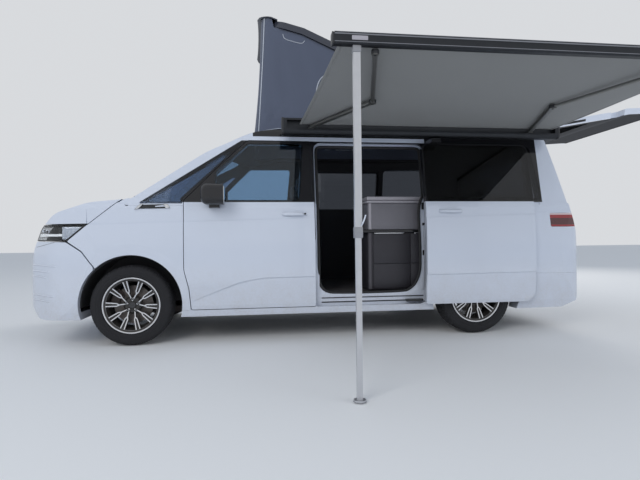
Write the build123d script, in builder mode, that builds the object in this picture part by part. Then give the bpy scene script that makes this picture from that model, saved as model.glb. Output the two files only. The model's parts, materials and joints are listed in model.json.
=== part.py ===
from build123d import *
import os
from math import atan2, cos, degrees, hypot, radians, sin

os.makedirs("parts", exist_ok=True)

# Long camper van with its lifting roof up, left sliding door slid back, tailgate up and awning out.
# Millimetres. +X is forwards, +Y to the van's left and +Z up from the ground.
# Places are given from the point on the ground under the middle of the front axle.

# Driving dimensions
wheelbase = 3124
nose_x = 966
tail_x = -4206
half_width = 968
belt_z = 1225
roof_z = 1985
floor_z = 400
front_axle_x = 2135
centreline_y = -757

# Wheels
tyre_r = 346
tyre_w = 235
wheel_y = 822
wheel_z = tyre_r
arch_r = 430
arch_z = 352
# Name, x and where the wheelhouse's inner wall stands, leaving room to steer
axles = [("front", 0, 500), ("rear", -wheelbase, 655)]
sides = [("left", 1), ("right", -1)]

# Wall thicknesses and gaps
door_t = 60
wall_t = 88
gap = 6
rebate_gap = 5
landing = 32
glass_t = 5
glass_depth = 1
glass_lap = 12

# Reference planes through the van's own origin
van = Plane(origin=(front_axle_x, centreline_y, 0))
side = Plane(origin=(front_axle_x, centreline_y, 0), x_dir=(1, 0, 0), z_dir=(0, -1, 0))
section = Plane(origin=(front_axle_x, centreline_y, 0), x_dir=(0, 1, 0), z_dir=(1, 0, 0))


def at(x, y, z):
    """A point given from the ground under the middle of the front axle."""
    return Vector(front_axle_x + x, centreline_y + y, z)


# Outer form
# The nose, bonnet and windscreen are turned about a far upright axis, so they bow in plan.
# The plan leans in above the belt, and a cross-section rounds the roof and tucks in the sills.
bow_axis_x = -2600
screen_lean = 11.5
shoulder = 31

# Each corner is x, z and its radius
nose_profile = [(-1700, 200, 0), (400, 200, 5), (420, 232, 20), (885, 238, 60), (955, 350, 60), (nose_x, 620, 250),
                (930, 830, 250), (855, 1012, 120), (745, 1143, 200), (480, 1236, 400), (150, 1270, 60),
                (-470, 1697, 1000), (-880, 1893, 400), (-1250, 1963, 900), (-1430, roof_z, 900), (-1700, roof_z, 0)]
tail_profile = [(-1450, 200, 0), (-4000, 225, 60), (-4150, 290, 60), (-4202, 410, 80), (tail_x, 600, 200),
                (-4150, 960, 300), (-4085, 1150, 150), (-3905, 1860, 50), (-3810, 1936, 60), (-2400, roof_z, 2500),
                (-1450, roof_z, 0)]
# Each corner is x, y and its radius
plan_outline = [(1010, 0, 0), (1010, 330, 200), (880, 740, 280), (640, 925, 300), (300, half_width, 800),
                (-4010, half_width, 700), (-4190, 930, 120), (tail_x - 8, 700, 400), (tail_x - 14, 0, 0)]
# Each corner is y, z and its radius, from the sill up over the roof
half_section = [(0, 150, 0), (905, 150, 20), (940, 300, 120), (966, 520, 400), (968, 900, 800),
                (950, 1180, 300), (939, 1235, 40), (790, 1938, 105), (400, 1974, 900), (0, roof_z, 0)]


def rounded(corners):
    """An open run of lines joined by tangent arcs, from corners that each give a place and a radius."""
    points = [corner[:2] for corner in corners]
    return FilletPolyline(*points, radius=[corner[2] for corner in corners[1:-1]])


def body_form(inset):
    """The van's outer form with every face drawn in by the inset."""
    bow_axis = Axis(at(bow_axis_x, 0, 0), (0, 0, 1))
    with BuildPart() as walls:
        with BuildSketch(van.offset(150)):
            with BuildLine():
                rounded(plan_outline)
                mirror(about=Plane.XZ)
            make_face()
            offset(amount=-inset)
        extrude(amount=belt_z - 150)
        with BuildSketch(van.offset(belt_z)):
            with BuildLine():
                rounded(plan_outline)
                mirror(about=Plane.XZ)
            make_face()
            offset(amount=-inset - shoulder)
        extrude(amount=roof_z + 20 - belt_z, taper=screen_lean)
    with BuildPart() as form:
        with BuildSketch(side):
            with BuildLine():
                front_run = rounded(nose_profile)
                Line(front_run @ 1, front_run @ 0)
            make_face()
            offset(amount=-inset)
        revolve(axis=bow_axis, revolution_arc=48)
        mirror(about=side)
        with BuildSketch(side):
            with BuildLine():
                rear_run = rounded(tail_profile)
                Line(rear_run @ 1, rear_run @ 0)
            make_face()
            offset(amount=-inset)
        extrude(amount=1100, both=True)
        add(walls.part, mode=Mode.INTERSECT)
        with BuildSketch(section.offset(tail_x - 100)):
            with BuildLine():
                rounded(half_section)
                mirror(about=Plane.YZ)
            make_face()
            offset(amount=-inset)
        extrude(amount=nose_x - tail_x + 200, mode=Mode.INTERSECT)
    return form.part


def closed_outline(corners, grow=0):
    """A closed face from corners that each give a place and a radius, grown by the amount given."""
    with BuildSketch() as face:
        with BuildLine():
            FilletPolyline(*[corner[:2] for corner in corners], radius=[corner[2] for corner in corners], close=True)
        make_face()
        if grow:
            offset(amount=grow)
    return face.sketch


def side_prism(corners, y_low, y_high, grow=0):
    """A side-view outline pulled across from y_low to y_high."""
    with BuildPart() as prism:
        with BuildSketch(side.offset(-y_low)):
            add(closed_outline(corners, grow))
        extrude(amount=y_low - y_high)
    return prism.part


def section_prism(corners, x_low, x_high, grow=0):
    """A front-view outline pulled along from x_low to x_high."""
    with BuildPart() as prism:
        with BuildSketch(section.offset(x_low)):
            add(closed_outline(corners, grow))
        extrude(amount=x_high - x_low)
    return prism.part


def plan_prism(corners, z_low, z_high, grow=0):
    """A plan outline pulled up from z_low to z_high."""
    with BuildPart() as prism:
        with BuildSketch(van.offset(z_low)):
            add(closed_outline(corners, grow))
        extrude(amount=z_high - z_low)
    return prism.part


def block(x_low, x_high, y_low, y_high, z_low, z_high):
    """A plain box between the given planes."""
    corners = [(x_low, y_low, 0), (x_high, y_low, 0), (x_high, y_high, 0), (x_low, y_high, 0)]
    return plan_prism(corners, z_low, z_high)


def left_or_right(prism_maker, corners, inner_y, outer_y, sign, grow=0):
    """The same side-view prism on the side that the sign gives."""
    low, high = sorted((sign * inner_y, sign * outer_y))
    return prism_maker(corners, low, high, grow)


# Creases pressed into the sides, each cut back to a plane that meets the form again at its far edge
# The upper one runs from the headlamp to the tail lamp, the lower one sweeps up the front door and along the sill
shoulder_line = [(350, 1044, 0), (-4300, 1152, 0), (-4300, belt_z, 0), (350, belt_z, 0)]
shoulder_y = 949
scallop_outline = [(-300, 250, 0), (-520, 372, 60), (-709, 449, 300), (-926, 532, 500), (-1130, 566, 400),
                   (-2710, 580, 0), (-2710, 250, 0)]
scallop_wedge = [(925, 240, 0), (943, 330, 0), (957, 590, 0), (1100, 590, 0), (1100, 240, 0)]
arch_flat = [(arch_r - 40, 952, 0), (arch_r + 98, 968.5, 0), (arch_r + 98, 1100, 0), (arch_r - 40, 1100, 0)]
creases = []
for axle, x, inner_y in axles:
    with BuildPart() as flat:
        with BuildSketch(section.offset(x)):
            add(closed_outline([(y, arch_z + r, 0) for r, y, corner in arch_flat]))
        revolve(axis=Axis(at(x, 0, arch_z), (0, 1, 0)))
        mirror(about=side)
    creases.append(flat.part)
for sign in (1, -1):
    wedge = [(sign * y, z, r) for y, z, r in scallop_wedge]
    creases.append(left_or_right(side_prism, shoulder_line, shoulder_y, 1100, sign))
    creases.append(side_prism(scallop_outline, -1100, 1100) & section_prism(wedge, -2800, 0))

# Skins of the outer form
outer = body_form(0) - creases
door_inner = body_form(door_t)
rebate_inner = body_form(door_t + rebate_gap)
cabin_form = body_form(wall_t)
glass_outer = body_form(glass_depth)
glass_inner = body_form(glass_depth + glass_t)
door_skin = outer - door_inner
rebate_skin = outer - rebate_inner
glass_skin = glass_outer - glass_inner
glass_pocket_skin = outer - glass_inner

# Side-view outlines of the panels that split the body. Each corner is x, z and its radius
front_door_outline = [(-507, 298, 12), (-492, 480, 200), (-450, 645, 200), (-450, 1250, 30), (-722, 1530, 300),
                      (-1000, 1803, 60), (-1588, 1803, 20), (-1598, 298, 12)]
front_window_outline = [(-712, 1243, 20), (-712, 1512, 30), (-1003, 1777, 50), (-1508, 1781, 40), (-1462, 1243, 50)]
sliding_door_outline = [(-1606, 298, 20), (-1606, 1790, 70), (-2660, 1790, 70), (-2668, 298, 110)]
sliding_window_outline = [(-1622, 1243, 15), (-1622, 1776, 60), (-2650, 1776, 60), (-2655, 1243, 15)]
corner_window_outline = [(-60, 1224, 8), (-436, 1224, 8), (-436, 1268, 8), (-975, 1790, 5), (-925, 1790, 5)]
corner_way_outline = [(-110, 1240, 6), (-420, 1240, 6), (-420, 1272, 6), (-830, 1670, 6), (-790, 1670, 6)]
rear_window_outline = [(-2674, 1248, 15), (-2672, 1780, 60), (-3730, 1790, 60), (-3795, 1262, 30)]
rear_way_outline = [(-2686, 1260, 10), (-2684, 1768, 50), (-3718, 1778, 50), (-3783, 1274, 20)]
fender_outline = [(-500, 292, 5), (-485, 481, 200), (-444, 646, 200), (-444, 1204, 8), (35, 1204, 8), (62, 1238, 5),
                  (100, 1235, 8), (334, 1050, 8), (512, 904, 8), (390, 820, 60), (296, 690, 60), (200, 500, 5),
                  (-300, 292, 5)]
headlamp_outline = [(343, 1046, 8), (521, 904, 30), (762, 912, 30), (1100, 912, 5), (1100, 1040, 5), (705, 1044, 30)]
bonnet_outline = [(0, 1400, 0), (0, 1310, 0), (106, 1238, 8), (338, 1054, 8), (705, 1051, 30), (1100, 1047, 0),
                  (1100, 1400, 0)]
front_bumper_outline = [(1100, 905, 0), (762, 905, 30), (523, 896, 30), (397, 812, 60), (302, 684, 60), (302, 150, 0),
                        (1100, 150, 0)]
rear_bumper_outline = [(-3500, 150, 0), (-3500, 640, 0), (-3640, 560, 60), (-4400, 552, 0), (-4400, 150, 0)]
door_rail_outline = [(-2686, 1212, 4), (-2686, 1234, 4), (-3770, 1234, 4), (-3770, 1212, 4)]
tail_lamp_outline = [(-3864, 1128, 15), (-3872, 1000, 15), (-4400, 1000, 0), (-4400, 1134, 0)]

# Front-view and rear-view outlines. Each corner is y, z and its radius
windscreen_outline = [(-868, 1258, 60), (868, 1258, 60), (742, 1842, 90), (-742, 1842, 90)]
tailgate_outline = [(-690, 2000, 0), (690, 2000, 0), (716, 1860, 60), (806, 1235, 200), (806, 1142, 10),
                    (700, 1142, 10), (700, 992, 10), (800, 992, 10), (790, 558, 40), (-790, 558, 40), (-800, 992, 10),
                    (-700, 992, 10), (-700, 1142, 10), (-806, 1142, 10), (-806, 1235, 200), (-716, 1860, 60)]
tailgate_window_outline = [(-640, 1800, 60), (640, 1800, 60), (735, 1262, 60), (-735, 1262, 60)]

# Lifting roof in plan. Each corner is x, y and its radius
roof_front_x = -1035
roof_rear_x = -3784
roof_half_width = 655
lifting_roof_outline = [(roof_front_x, -roof_half_width, 140), (roof_front_x, roof_half_width, 140),
                        (roof_rear_x, roof_half_width, 60), (roof_rear_x, -roof_half_width, 60)]
roof_hinge_z = 1952
roof_angle = 23.5
tailgate_front_x = -3818
tailgate_hinge_x = -3814
tailgate_hinge_z = 1950
tailgate_angle = 85
slide_back = 1003
slide_out = 76

# Body shell
# Hollow welded shell: walls and roof as thick as a real pillar, a floor slab, and open wheelhouses.
shell_front_x = 60
sill_z = 236
jack_x = (-560, -2480)
jack_y = 850
rear_cabin_x = -4120
cowl_r = 2785
cowl_z = 1120
screen_base_r = 2752


def bow_cylinder(radius):
    """A tall cylinder about the axis that the nose and windscreen are turned about."""
    with BuildPart(Plane(at(bow_axis_x, 0, 0))) as cylinder:
        Cylinder(radius, 4000)
    return cylinder.part


def cut_arches():
    """Cuts the four round wheelhouses out of the piece being built."""
    for axle, x, inner_y in axles:
        for name, sign in sides:
            with Locations(at(x, sign * (inner_y + 1100) / 2, arch_z)):
                Cylinder(arch_r, 1100 - inner_y, rotation=(90, 0, 0), mode=Mode.SUBTRACT)


with BuildPart() as body_shell:
    add(outer)
    add(cabin_form & block(rear_cabin_x, 0, -1000, 1000, floor_z, 2100), mode=Mode.SUBTRACT)
    add(block(shell_front_x, 1200, -1100, 1100, 0, cowl_z), mode=Mode.SUBTRACT)
    add(block(-400, 1200, -1100, 1100, cowl_z, 1600) - bow_cylinder(cowl_r - gap), mode=Mode.SUBTRACT)
    add(block(-4040, 1200, -780, 780, 0, floor_z - 60), mode=Mode.SUBTRACT)
    add(block(-4400, 1200, -1100, 1100, 0, sill_z), mode=Mode.SUBTRACT)
    # Doors: a pocket for the panel, then a smaller way through that leaves a landing for its seal
    for name, sign in sides:
        for outline in (front_door_outline, sliding_door_outline):
            add(left_or_right(side_prism, outline, 600, 1100, sign, gap) & rebate_skin, mode=Mode.SUBTRACT)
            add(left_or_right(side_prism, outline, 600, 1100, sign, -landing) & block(-2640, -540, -1100, 1100,
                floor_z + 12, 1900), mode=Mode.SUBTRACT)
        for outline, way_outline in ((corner_window_outline, corner_way_outline),
                                     (rear_window_outline, rear_way_outline)):
            add(left_or_right(side_prism, outline, 600, 1100, sign) & glass_pocket_skin, mode=Mode.SUBTRACT)
            add(left_or_right(side_prism, way_outline, 600, 1100, sign), mode=Mode.SUBTRACT)
        add(left_or_right(side_prism, fender_outline, 600, 1100, sign, 1) - door_inner, mode=Mode.SUBTRACT)
        add(left_or_right(side_prism, rear_bumper_outline, 600, 1100, sign) & door_skin, mode=Mode.SUBTRACT)
        add(left_or_right(side_prism, tail_lamp_outline, 704, 1100, sign, 2) & rebate_skin, mode=Mode.SUBTRACT)
        add(left_or_right(side_prism, door_rail_outline, 600, 1100, sign) & glass_pocket_skin, mode=Mode.SUBTRACT)
    cut_arches()
    for x in jack_x:
        with Locations(at(x, jack_y, sill_z), at(x, -jack_y, sill_z)):
            Box(110, 46, 20)
    # Windscreen, tailgate and lifting roof
    screen = section_prism(windscreen_outline, -1000, 400) & bow_cylinder(screen_base_r)
    screen_way = section_prism(windscreen_outline, -1000, 400, -22) & bow_cylinder(screen_base_r - 22)
    add(screen & glass_pocket_skin, mode=Mode.SUBTRACT)
    add(screen_way, mode=Mode.SUBTRACT)
    tailgate_reach = block(-4400, tailgate_front_x + gap, -1000, 1000, 400, 2100)
    add(section_prism(tailgate_outline, -4400, -3700, gap) & tailgate_reach & rebate_skin, mode=Mode.SUBTRACT)
    add(section_prism(tailgate_outline, -4400, -3850, -landing) & block(-4400, -3850, -1000, 1000, 400, 1880),
        mode=Mode.SUBTRACT)
    add(section_prism([(-1000, 150, 0), (-1000, 552, 0), (1000, 552, 0), (1000, 150, 0)], -4400, -4100) & door_skin,
        mode=Mode.SUBTRACT)
    add(plan_prism(lifting_roof_outline, 1800, 2100, gap) & rebate_skin, mode=Mode.SUBTRACT)
    add(plan_prism(lifting_roof_outline, 1800, 2100, -landing), mode=Mode.SUBTRACT)
pieces = {"body_shell": body_shell}

# Fenders, bumpers and bonnet
with BuildPart() as front_fenders:
    for name, sign in sides:
        add(left_or_right(side_prism, fender_outline, 600, 1100, sign) & door_skin)
    cut_arches()
pieces["front_fenders"] = front_fenders

# The bumper carries a blank number plate and the threaded socket for a towing eye
plate_x = 974
plate_z = 500
intake_outline = [(-600, 318, 40), (600, 318, 40), (660, 440, 40), (610, 575, 40), (-610, 575, 40), (-660, 440, 40)]
intake = section_prism(intake_outline, 700, 1200)
grille_setback = 34
socket_y = -720
socket_z = 500
socket_x = (770, 825)
with BuildPart() as front_bumper:
    add(side_prism(front_bumper_outline, -1100, 1100) & door_skin)
    cut_arches()
    add(intake, mode=Mode.SUBTRACT)
    add(block(880, plate_x, -260, 260, plate_z - 55, plate_z + 55))
    add(block(880, 930, -640, 640, plate_z - 20, plate_z + 20) & outer)
    socket = section.offset(socket_x[0])
    with BuildSketch(socket):
        with Locations((socket_y, socket_z)):
            Circle(24)
    extrude(amount=60)
    with BuildSketch(section.offset(socket_x[1])):
        with Locations((socket_y, socket_z)):
            Circle(22)
    extrude(amount=100, mode=Mode.SUBTRACT)
    with BuildSketch(socket):
        with Locations((socket_y, socket_z)):
            Circle(9)
    extrude(amount=100, mode=Mode.SUBTRACT)
pieces["front_bumper"] = front_bumper

with BuildPart() as lower_grille:
    add((section_prism(intake_outline, 700, 1200, -1) & outer.moved(Location((-grille_setback, 0, 0)))) - door_inner)
    add(block(879, 1000, -261, 261, plate_z - 56, plate_z + 56), mode=Mode.SUBTRACT)
    add(block(879, 1000, -700, 700, plate_z - 21, plate_z + 21), mode=Mode.SUBTRACT)
pieces["lower_grille"] = lower_grille

with BuildPart() as rear_bumper:
    add(side_prism(rear_bumper_outline, -1100, 1100, -1) & door_skin)
    add(block(-4100, -3000, -770, 770, 0, 900), mode=Mode.SUBTRACT)
    cut_arches()
pieces["rear_bumper"] = rear_bumper

with BuildPart() as bonnet:
    add(side_prism(bonnet_outline, -1100, 1100) & door_skin)
    add(bow_cylinder(cowl_r), mode=Mode.SUBTRACT)
pieces["bonnet"] = bonnet

# Lamps, each a thin lens over a hollow bowl, and the grille between bonnet and bumper
lamp_inner_y = 470
bowl_wall = 6
# Each row is the outline, its inner end and the form that the bowl's back follows
lamps = {"headlamp": (headlamp_outline, lamp_inner_y, body_form(door_t + 2 * bowl_wall)),
         "tail_lamp": (tail_lamp_outline, 706, rebate_inner)}
for lamp, (outline, inner_y, back) in lamps.items():
    with BuildPart() as lenses:
        for name, sign in sides:
            add(left_or_right(side_prism, outline, inner_y, 1100, sign) & glass_pocket_skin)
    pieces[f"{lamp}_lenses"] = lenses
    with BuildPart() as bowls:
        for name, sign in sides:
            add(left_or_right(side_prism, outline, inner_y, 1100, sign))
        add(glass_inner, mode=Mode.INTERSECT)
        add(back, mode=Mode.SUBTRACT)
        for name, sign in sides:
            hollow = left_or_right(side_prism, outline, inner_y + bowl_wall, 1100, sign, -bowl_wall)
            add(hollow - door_inner, mode=Mode.SUBTRACT)
    pieces[f"{lamp}_bowls"] = bowls

with BuildPart() as upper_grille:
    add(side_prism(headlamp_outline, 4 - lamp_inner_y, lamp_inner_y - 4) & door_skin)
pieces["upper_grille"] = upper_grille

# Fixed glass
with BuildPart() as windscreen:
    add(screen & glass_skin)
pieces["windscreen"] = windscreen

with BuildPart() as fixed_side_glass:
    for name, sign in sides:
        for outline in (corner_window_outline, rear_window_outline):
            add(left_or_right(side_prism, outline, 600, 1100, sign) & glass_skin)
pieces["fixed_side_glass"] = fixed_side_glass

# Doors
# The open sliding door stands off the side on three runners. Each row is x, z and the body's side there
door_move = Location((-slide_back, slide_out, 0))
runners = [(-3590, 1190, 950), (-2700, 330, 944.5), (-2720, 1800, 838)]
for name, sign in sides:
    window = left_or_right(side_prism, front_window_outline, 600, 1100, sign)
    with BuildPart() as front_door:
        add(left_or_right(side_prism, front_door_outline, 600, 1100, sign) & door_skin)
        add(window & glass_pocket_skin, mode=Mode.SUBTRACT)
        add(left_or_right(side_prism, front_window_outline, 600, 1100, sign, -glass_lap), mode=Mode.SUBTRACT)
    pieces[f"front_door_{name}"] = front_door
    with BuildPart() as front_door_glass:
        add(window & glass_skin)
    pieces[f"front_door_glass_{name}"] = front_door_glass

    window = left_or_right(side_prism, sliding_window_outline, 600, 1100, sign)
    rest = door_move if name == "left" else Location()
    with BuildPart() as sliding_door:
        add(left_or_right(side_prism, sliding_door_outline, 600, 1100, sign) & door_skin)
        add(window & glass_pocket_skin, mode=Mode.SUBTRACT)
        add(left_or_right(side_prism, sliding_window_outline, 600, 1100, sign, -40), mode=Mode.SUBTRACT)
    with BuildPart() as sliding_glass:
        add(window & glass_skin)
    with BuildPart() as placed_door:
        add(sliding_door.part.moved(rest))
        if rest is door_move:
            for x, z, inner_y in runners:
                add(block(x - 45, x + 45, inner_y, 1000, z - 18, z + 18))
    with BuildPart() as placed_glass:
        add(sliding_glass.part.moved(rest))
    pieces[f"sliding_door_{name}"] = placed_door
    pieces[f"sliding_door_glass_{name}"] = placed_glass

    with BuildPart() as mirror_case:
        with BuildSketch(section.offset(-800)):
            with Locations((sign * 1062, 1292)):
                RectangleRounded(195, 178, 62)
        extrude(amount=190)
        fillet(mirror_case.faces().sort_by(Axis.X)[-1].edges(), 55)
        with BuildSketch(van.offset(1180)):
            with Locations((-715, sign * 972)):
                RectangleRounded(90, 140, 30)
        extrude(amount=60)
        add(outer, mode=Mode.SUBTRACT)
    pieces[f"mirror_{name}"] = mirror_case

# Tailgate, built shut and then swung up about its hinge
tailgate_axis = Axis(at(tailgate_hinge_x, 0, tailgate_hinge_z), (0, 1, 0))
tailgate_body = block(-4400, tailgate_front_x, -1000, 1000, 400, 2100) & door_skin
with BuildPart() as shut_tailgate:
    add(section_prism(tailgate_outline, -4400, -3700) & tailgate_body)
    add(section_prism(tailgate_window_outline, -4400, -3850) & glass_pocket_skin, mode=Mode.SUBTRACT)
    add(section_prism(tailgate_window_outline, -4400, -3700, -30) & block(-4400, -3850, -1000, 1000, 400, 2100),
        mode=Mode.SUBTRACT)
with BuildPart() as tailgate:
    add(shut_tailgate.part.rotate(tailgate_axis, tailgate_angle))
pieces["tailgate"] = tailgate
with BuildPart() as tailgate_glass:
    add((section_prism(tailgate_window_outline, -4400, -3850) & glass_skin).rotate(tailgate_axis, tailgate_angle))
pieces["tailgate_glass"] = tailgate_glass

# Lifting roof, built shut and then raised about its rear hinge, and its tent
roof_axis = Axis(at(roof_rear_x, 0, roof_hinge_z), (0, 1, 0))
with BuildPart() as pop_up_roof:
    add((plan_prism(lifting_roof_outline, 1800, 2100) & door_skin).rotate(roof_axis, -roof_angle))
pieces["pop_up_roof"] = pop_up_roof

tent_wall = 6
tent_outline = [(-1056, -634, 120), (-1056, 634, 120), (-3740, 634, 40), (-3740, -634, 40)]
with BuildPart() as roof_canvas:
    add(plan_prism(tent_outline, 1800, 3100) - plan_prism(tent_outline, 1700, 3200, -tent_wall))
    add(rebate_inner.rotate(roof_axis, -roof_angle), mode=Mode.INTERSECT)
    add(rebate_inner, mode=Mode.SUBTRACT)
pieces["roof_canvas"] = roof_canvas

# Awning: a case on the roof rail, fabric, front rail on folding arms, and two telescopic legs
case_x = (-3920, -1320)
case_y = 905
case_z = 1905
rail_x = (-3980, -1500)
rail_y = 2640
rail_z = 1995
leg_setback = 130
with BuildPart() as awning_case:
    with BuildSketch(section.offset(case_x[0])):
        with Locations((case_y + 55, case_z)):
            RectangleRounded(110, 150, 40)
    extrude(amount=case_x[1] - case_x[0])
    with BuildSketch(section.offset(case_x[0] + 30)):
        with Locations((case_y + 88, case_z + 12)):
            Rectangle(70, 76)
    extrude(amount=case_x[1] - case_x[0] - 60, mode=Mode.SUBTRACT)
pieces["awning_case"] = awning_case

with BuildPart() as awning_front_rail:
    with BuildSketch(section.offset(rail_x[0])):
        with Locations((rail_y, rail_z)):
            RectangleRounded(60, 64, 14)
    extrude(amount=rail_x[1] - rail_x[0])
pieces["awning_front_rail"] = awning_front_rail

fabric_t = 3
fabric_inner = (1012, 1919)
fabric_outer = (rail_y - 32, rail_z - 2)
fabric_run = hypot(fabric_outer[0] - fabric_inner[0], fabric_outer[1] - fabric_inner[1])
fabric_rise = fabric_outer[1] - fabric_inner[1]
fabric_plane = Plane(at(0, *fabric_inner), x_dir=(1, 0, 0), z_dir=(0, -fabric_rise, fabric_outer[0] - fabric_inner[0]))
with BuildPart() as awning_fabric:
    with BuildSketch(fabric_plane):
        add(closed_outline([(-3860, 0, 0), (-1460, 0, 0), (-1540, fabric_run, 0), (-3940, fabric_run, 0)]))
    extrude(amount=-fabric_t)
pieces["awning_fabric"] = awning_fabric


def bar(start, end, width, height, corner):
    """A straight bar with rounded edges from one point of the van to another."""
    foot = at(*start)
    along = at(*end) - foot
    with BuildPart() as piece:
        with BuildSketch(Plane(foot, x_dir=Vector(0, 0, 1).cross(along), z_dir=along)):
            RectangleRounded(width, height, corner)
        extrude(amount=along.length)
    return piece.part


# Each arm: shoulder, elbow and tip
arm_points = [((-1560, 1000, 1897), (-1930, 1780, 1908), (-1745, 2606, 1945)),
              ((-3640, 1000, 1897), (-3360, 1780, 1908), (-3700, 2606, 1945))]
knuckle_tall = 32
with BuildPart() as awning_arms:
    for shoulder_point, elbow, tip in arm_points:
        add(bar(shoulder_point, elbow, 44, 26, 10))
        add(bar(elbow, tip, 32, 22, 8))
        for joint_point, joint_r in ((shoulder_point, 26), (elbow, 25), (tip, 20)):
            with Locations(at(*joint_point)):
                Cylinder(joint_r, knuckle_tall)
pieces["awning_arms"] = awning_arms

foot_clearance = 3
leg_x = (rail_x[0] + leg_setback, rail_x[1] - leg_setback)
with BuildPart() as awning_legs:
    for x in leg_x:
        with Locations(at(x, rail_y, (rail_z - 32 + 920) / 2)):
            Box(40, 30, rail_z - 32 - 920)
        with Locations(at(x, rail_y, (960 + foot_clearance) / 2)):
            Box(32, 22, 960 - foot_clearance)
        with Locations(at(x, rail_y, foot_clearance + 6)):
            Cylinder(34, 12)
pieces["awning_legs"] = awning_legs

# Wheelhouse liners: a thin arch and an inner wall over each wheel
liner_t = 8
with BuildPart() as wheel_arch_liners:
    for axle, x, inner_y in axles:
        for name, sign in sides:
            outer_y = 895
            with Locations(at(x, sign * (inner_y + outer_y) / 2, arch_z)):
                Cylinder(arch_r - 1, outer_y - inner_y - 2, rotation=(90, 0, 0))
            with Locations(at(x, sign * (inner_y + liner_t + outer_y) / 2, arch_z)):
                Cylinder(arch_r - 1 - liner_t, outer_y - inner_y - liner_t, rotation=(90, 0, 0), mode=Mode.SUBTRACT)
    add(block(-4300, 1000, -1000, 1000, -200, 330), mode=Mode.SUBTRACT)
pieces["wheel_arch_liners"] = wheel_arch_liners

# Wheels
# Axial place outwards from the wheel's middle, radius, and corner radius
tyre_section = [(-97, 228.5, 4), (97, 228.5, 4), (98, 246, 5), (113, 262, 10), (117.5, 295, 40), (106, 330, 30),
                (84, 344, 40), (0, tyre_r, 2000), (-84, 344, 40), (-106, 330, 30), (-117.5, 295, 40), (-113, 262, 10),
                (-98, 246, 5)]
barrel_section = [(-107, 243, 3), (-107, 222, 4), (-60, 196, 10), (30, 196, 10), (96, 214, 8), (107, 236, 3),
                  (107, 243, 3), (100, 243, 2), (99, 228, 3), (66, 228, 6), (40, 206, 10), (-52, 206, 10),
                  (-76, 228, 6), (-99, 228, 3), (-100, 243, 2)]
# Ten forked spokes meet in pairs at five points round the hub. Each has two machined blades over a black bed
fork_count = 10
fork_turn = 284.5
meet_r = 40
fork_r = 104
bend_r = 126
spoke_end_r = 212
blade_w = 9
# Front and back of the spokes at the hub and at the rim, counted outwards from the wheel's middle
blade_dish = [(20, 70), (spoke_end_r + 4, 100), (spoke_end_r + 4, 80), (20, 50)]
bed_dish = [(20, 58), (spoke_end_r + 4, 89), (spoke_end_r + 4, 66), (20, 36)]
hub_section = [(0, 24, 0), (76, 24, 4), (80, 46, 8), (62, 62, 10), (34, 62, 3), (31, 70, 3), (0, 71, 0)]
bolt_circle_r = 56
bolt_hole_r = 12
bore_r = 28.55
bore_depth = 16


def wheel_plane(x, sign, outwards=0):
    """A plane at a wheel's middle, facing out, with its x forwards."""
    return Plane(at(x, sign * (wheel_y + outwards), wheel_z), x_dir=(1, 0, 0), z_dir=(0, sign, 0))


def turned(points, closed_corners=False):
    """A solid turned about the Z axis from radius and height points."""
    with BuildPart() as solid:
        with BuildSketch(Plane.XZ):
            add(closed_outline([(p[0], p[1], p[2] if len(p) > 2 else 0) for p in points]))
        revolve(axis=Axis.Z)
    return solid.part


def polar(radius, angle):
    """A point from its radius and its angle in degrees."""
    return Vector(radius * cos(radians(angle)), radius * sin(radians(angle)))


def ribbon(start, end, width):
    """A flat strip with rounded ends between two points, drawn in the sketch being built."""
    run = end - start
    middle = (start + end) / 2
    with Locations(Location((middle.X, middle.Y), degrees(atan2(run.Y, run.X)))):
        SlotCenterToCenter(run.length, width)


with BuildPart() as blades:
    with BuildSketch():
        for fork in range(fork_count):
            turn = fork_turn - 36 * fork
            meet = polar(meet_r, turn - 18 if fork % 2 == 0 else turn + 18)
            crotch = polar(fork_r, turn)
            ribbon(meet, crotch, blade_w)
            for lean in (-1, 1):
                bend = polar(bend_r, turn + 5 * lean)
                ribbon(crotch, bend, blade_w)
                ribbon(bend, polar(spoke_end_r, turn + 4.3 * lean), blade_w)
    extrude(amount=120)
    add(turned(blade_dish), mode=Mode.INTERSECT)
with BuildPart() as beds:
    with BuildSketch():
        for fork in range(fork_count):
            turn = fork_turn - 36 * fork
            meet = polar(meet_r, turn - 18 if fork % 2 == 0 else turn + 18)
            crotch = polar(fork_r, turn)
            ribbon(meet, crotch, blade_w + 3)
            ribbon(crotch, polar(spoke_end_r, turn), 19)
            for lean in (-1, 1):
                bend = polar(bend_r, turn + 5 * lean)
                ribbon(crotch, bend, blade_w + 3)
                ribbon(bend, polar(spoke_end_r, turn + 4.3 * lean), blade_w + 3)
    extrude(amount=120)
    add(turned(bed_dish), mode=Mode.INTERSECT)
with BuildPart() as rim_form:
    add(turned([(z, x, r) for x, z, r in barrel_section]))
    add(turned(hub_section))
    add(beds.part)
    add(blades.part)
    with BuildSketch():
        with PolarLocations(bolt_circle_r, 5, start_angle=fork_turn + 54):
            Circle(bolt_hole_r)
    extrude(amount=120, mode=Mode.SUBTRACT)
    with BuildSketch(Plane.XY.offset(24)):
        Circle(bore_r)
    extrude(amount=bore_depth, mode=Mode.SUBTRACT)
with BuildPart() as tyre_form:
    add(turned([(z, x, r) for x, z, r in tyre_section]))

for axle, x, inner_y in axles:
    for name, sign in sides:
        wheel_place = wheel_plane(x, sign).location
        with BuildPart() as tyre:
            add(tyre_form.part.moved(wheel_place))
        pieces[f"{axle}_tyre_{name}"] = tyre
        with BuildPart() as rim:
            add(rim_form.part.moved(wheel_place))
        pieces[f"{axle}_rim_{name}"] = rim

# A brake caliper clasps each disc from the front and above, on a bracket from the hub carrier
disc_r = 165
caliper_arc = 50
caliper_slot = 6


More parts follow.
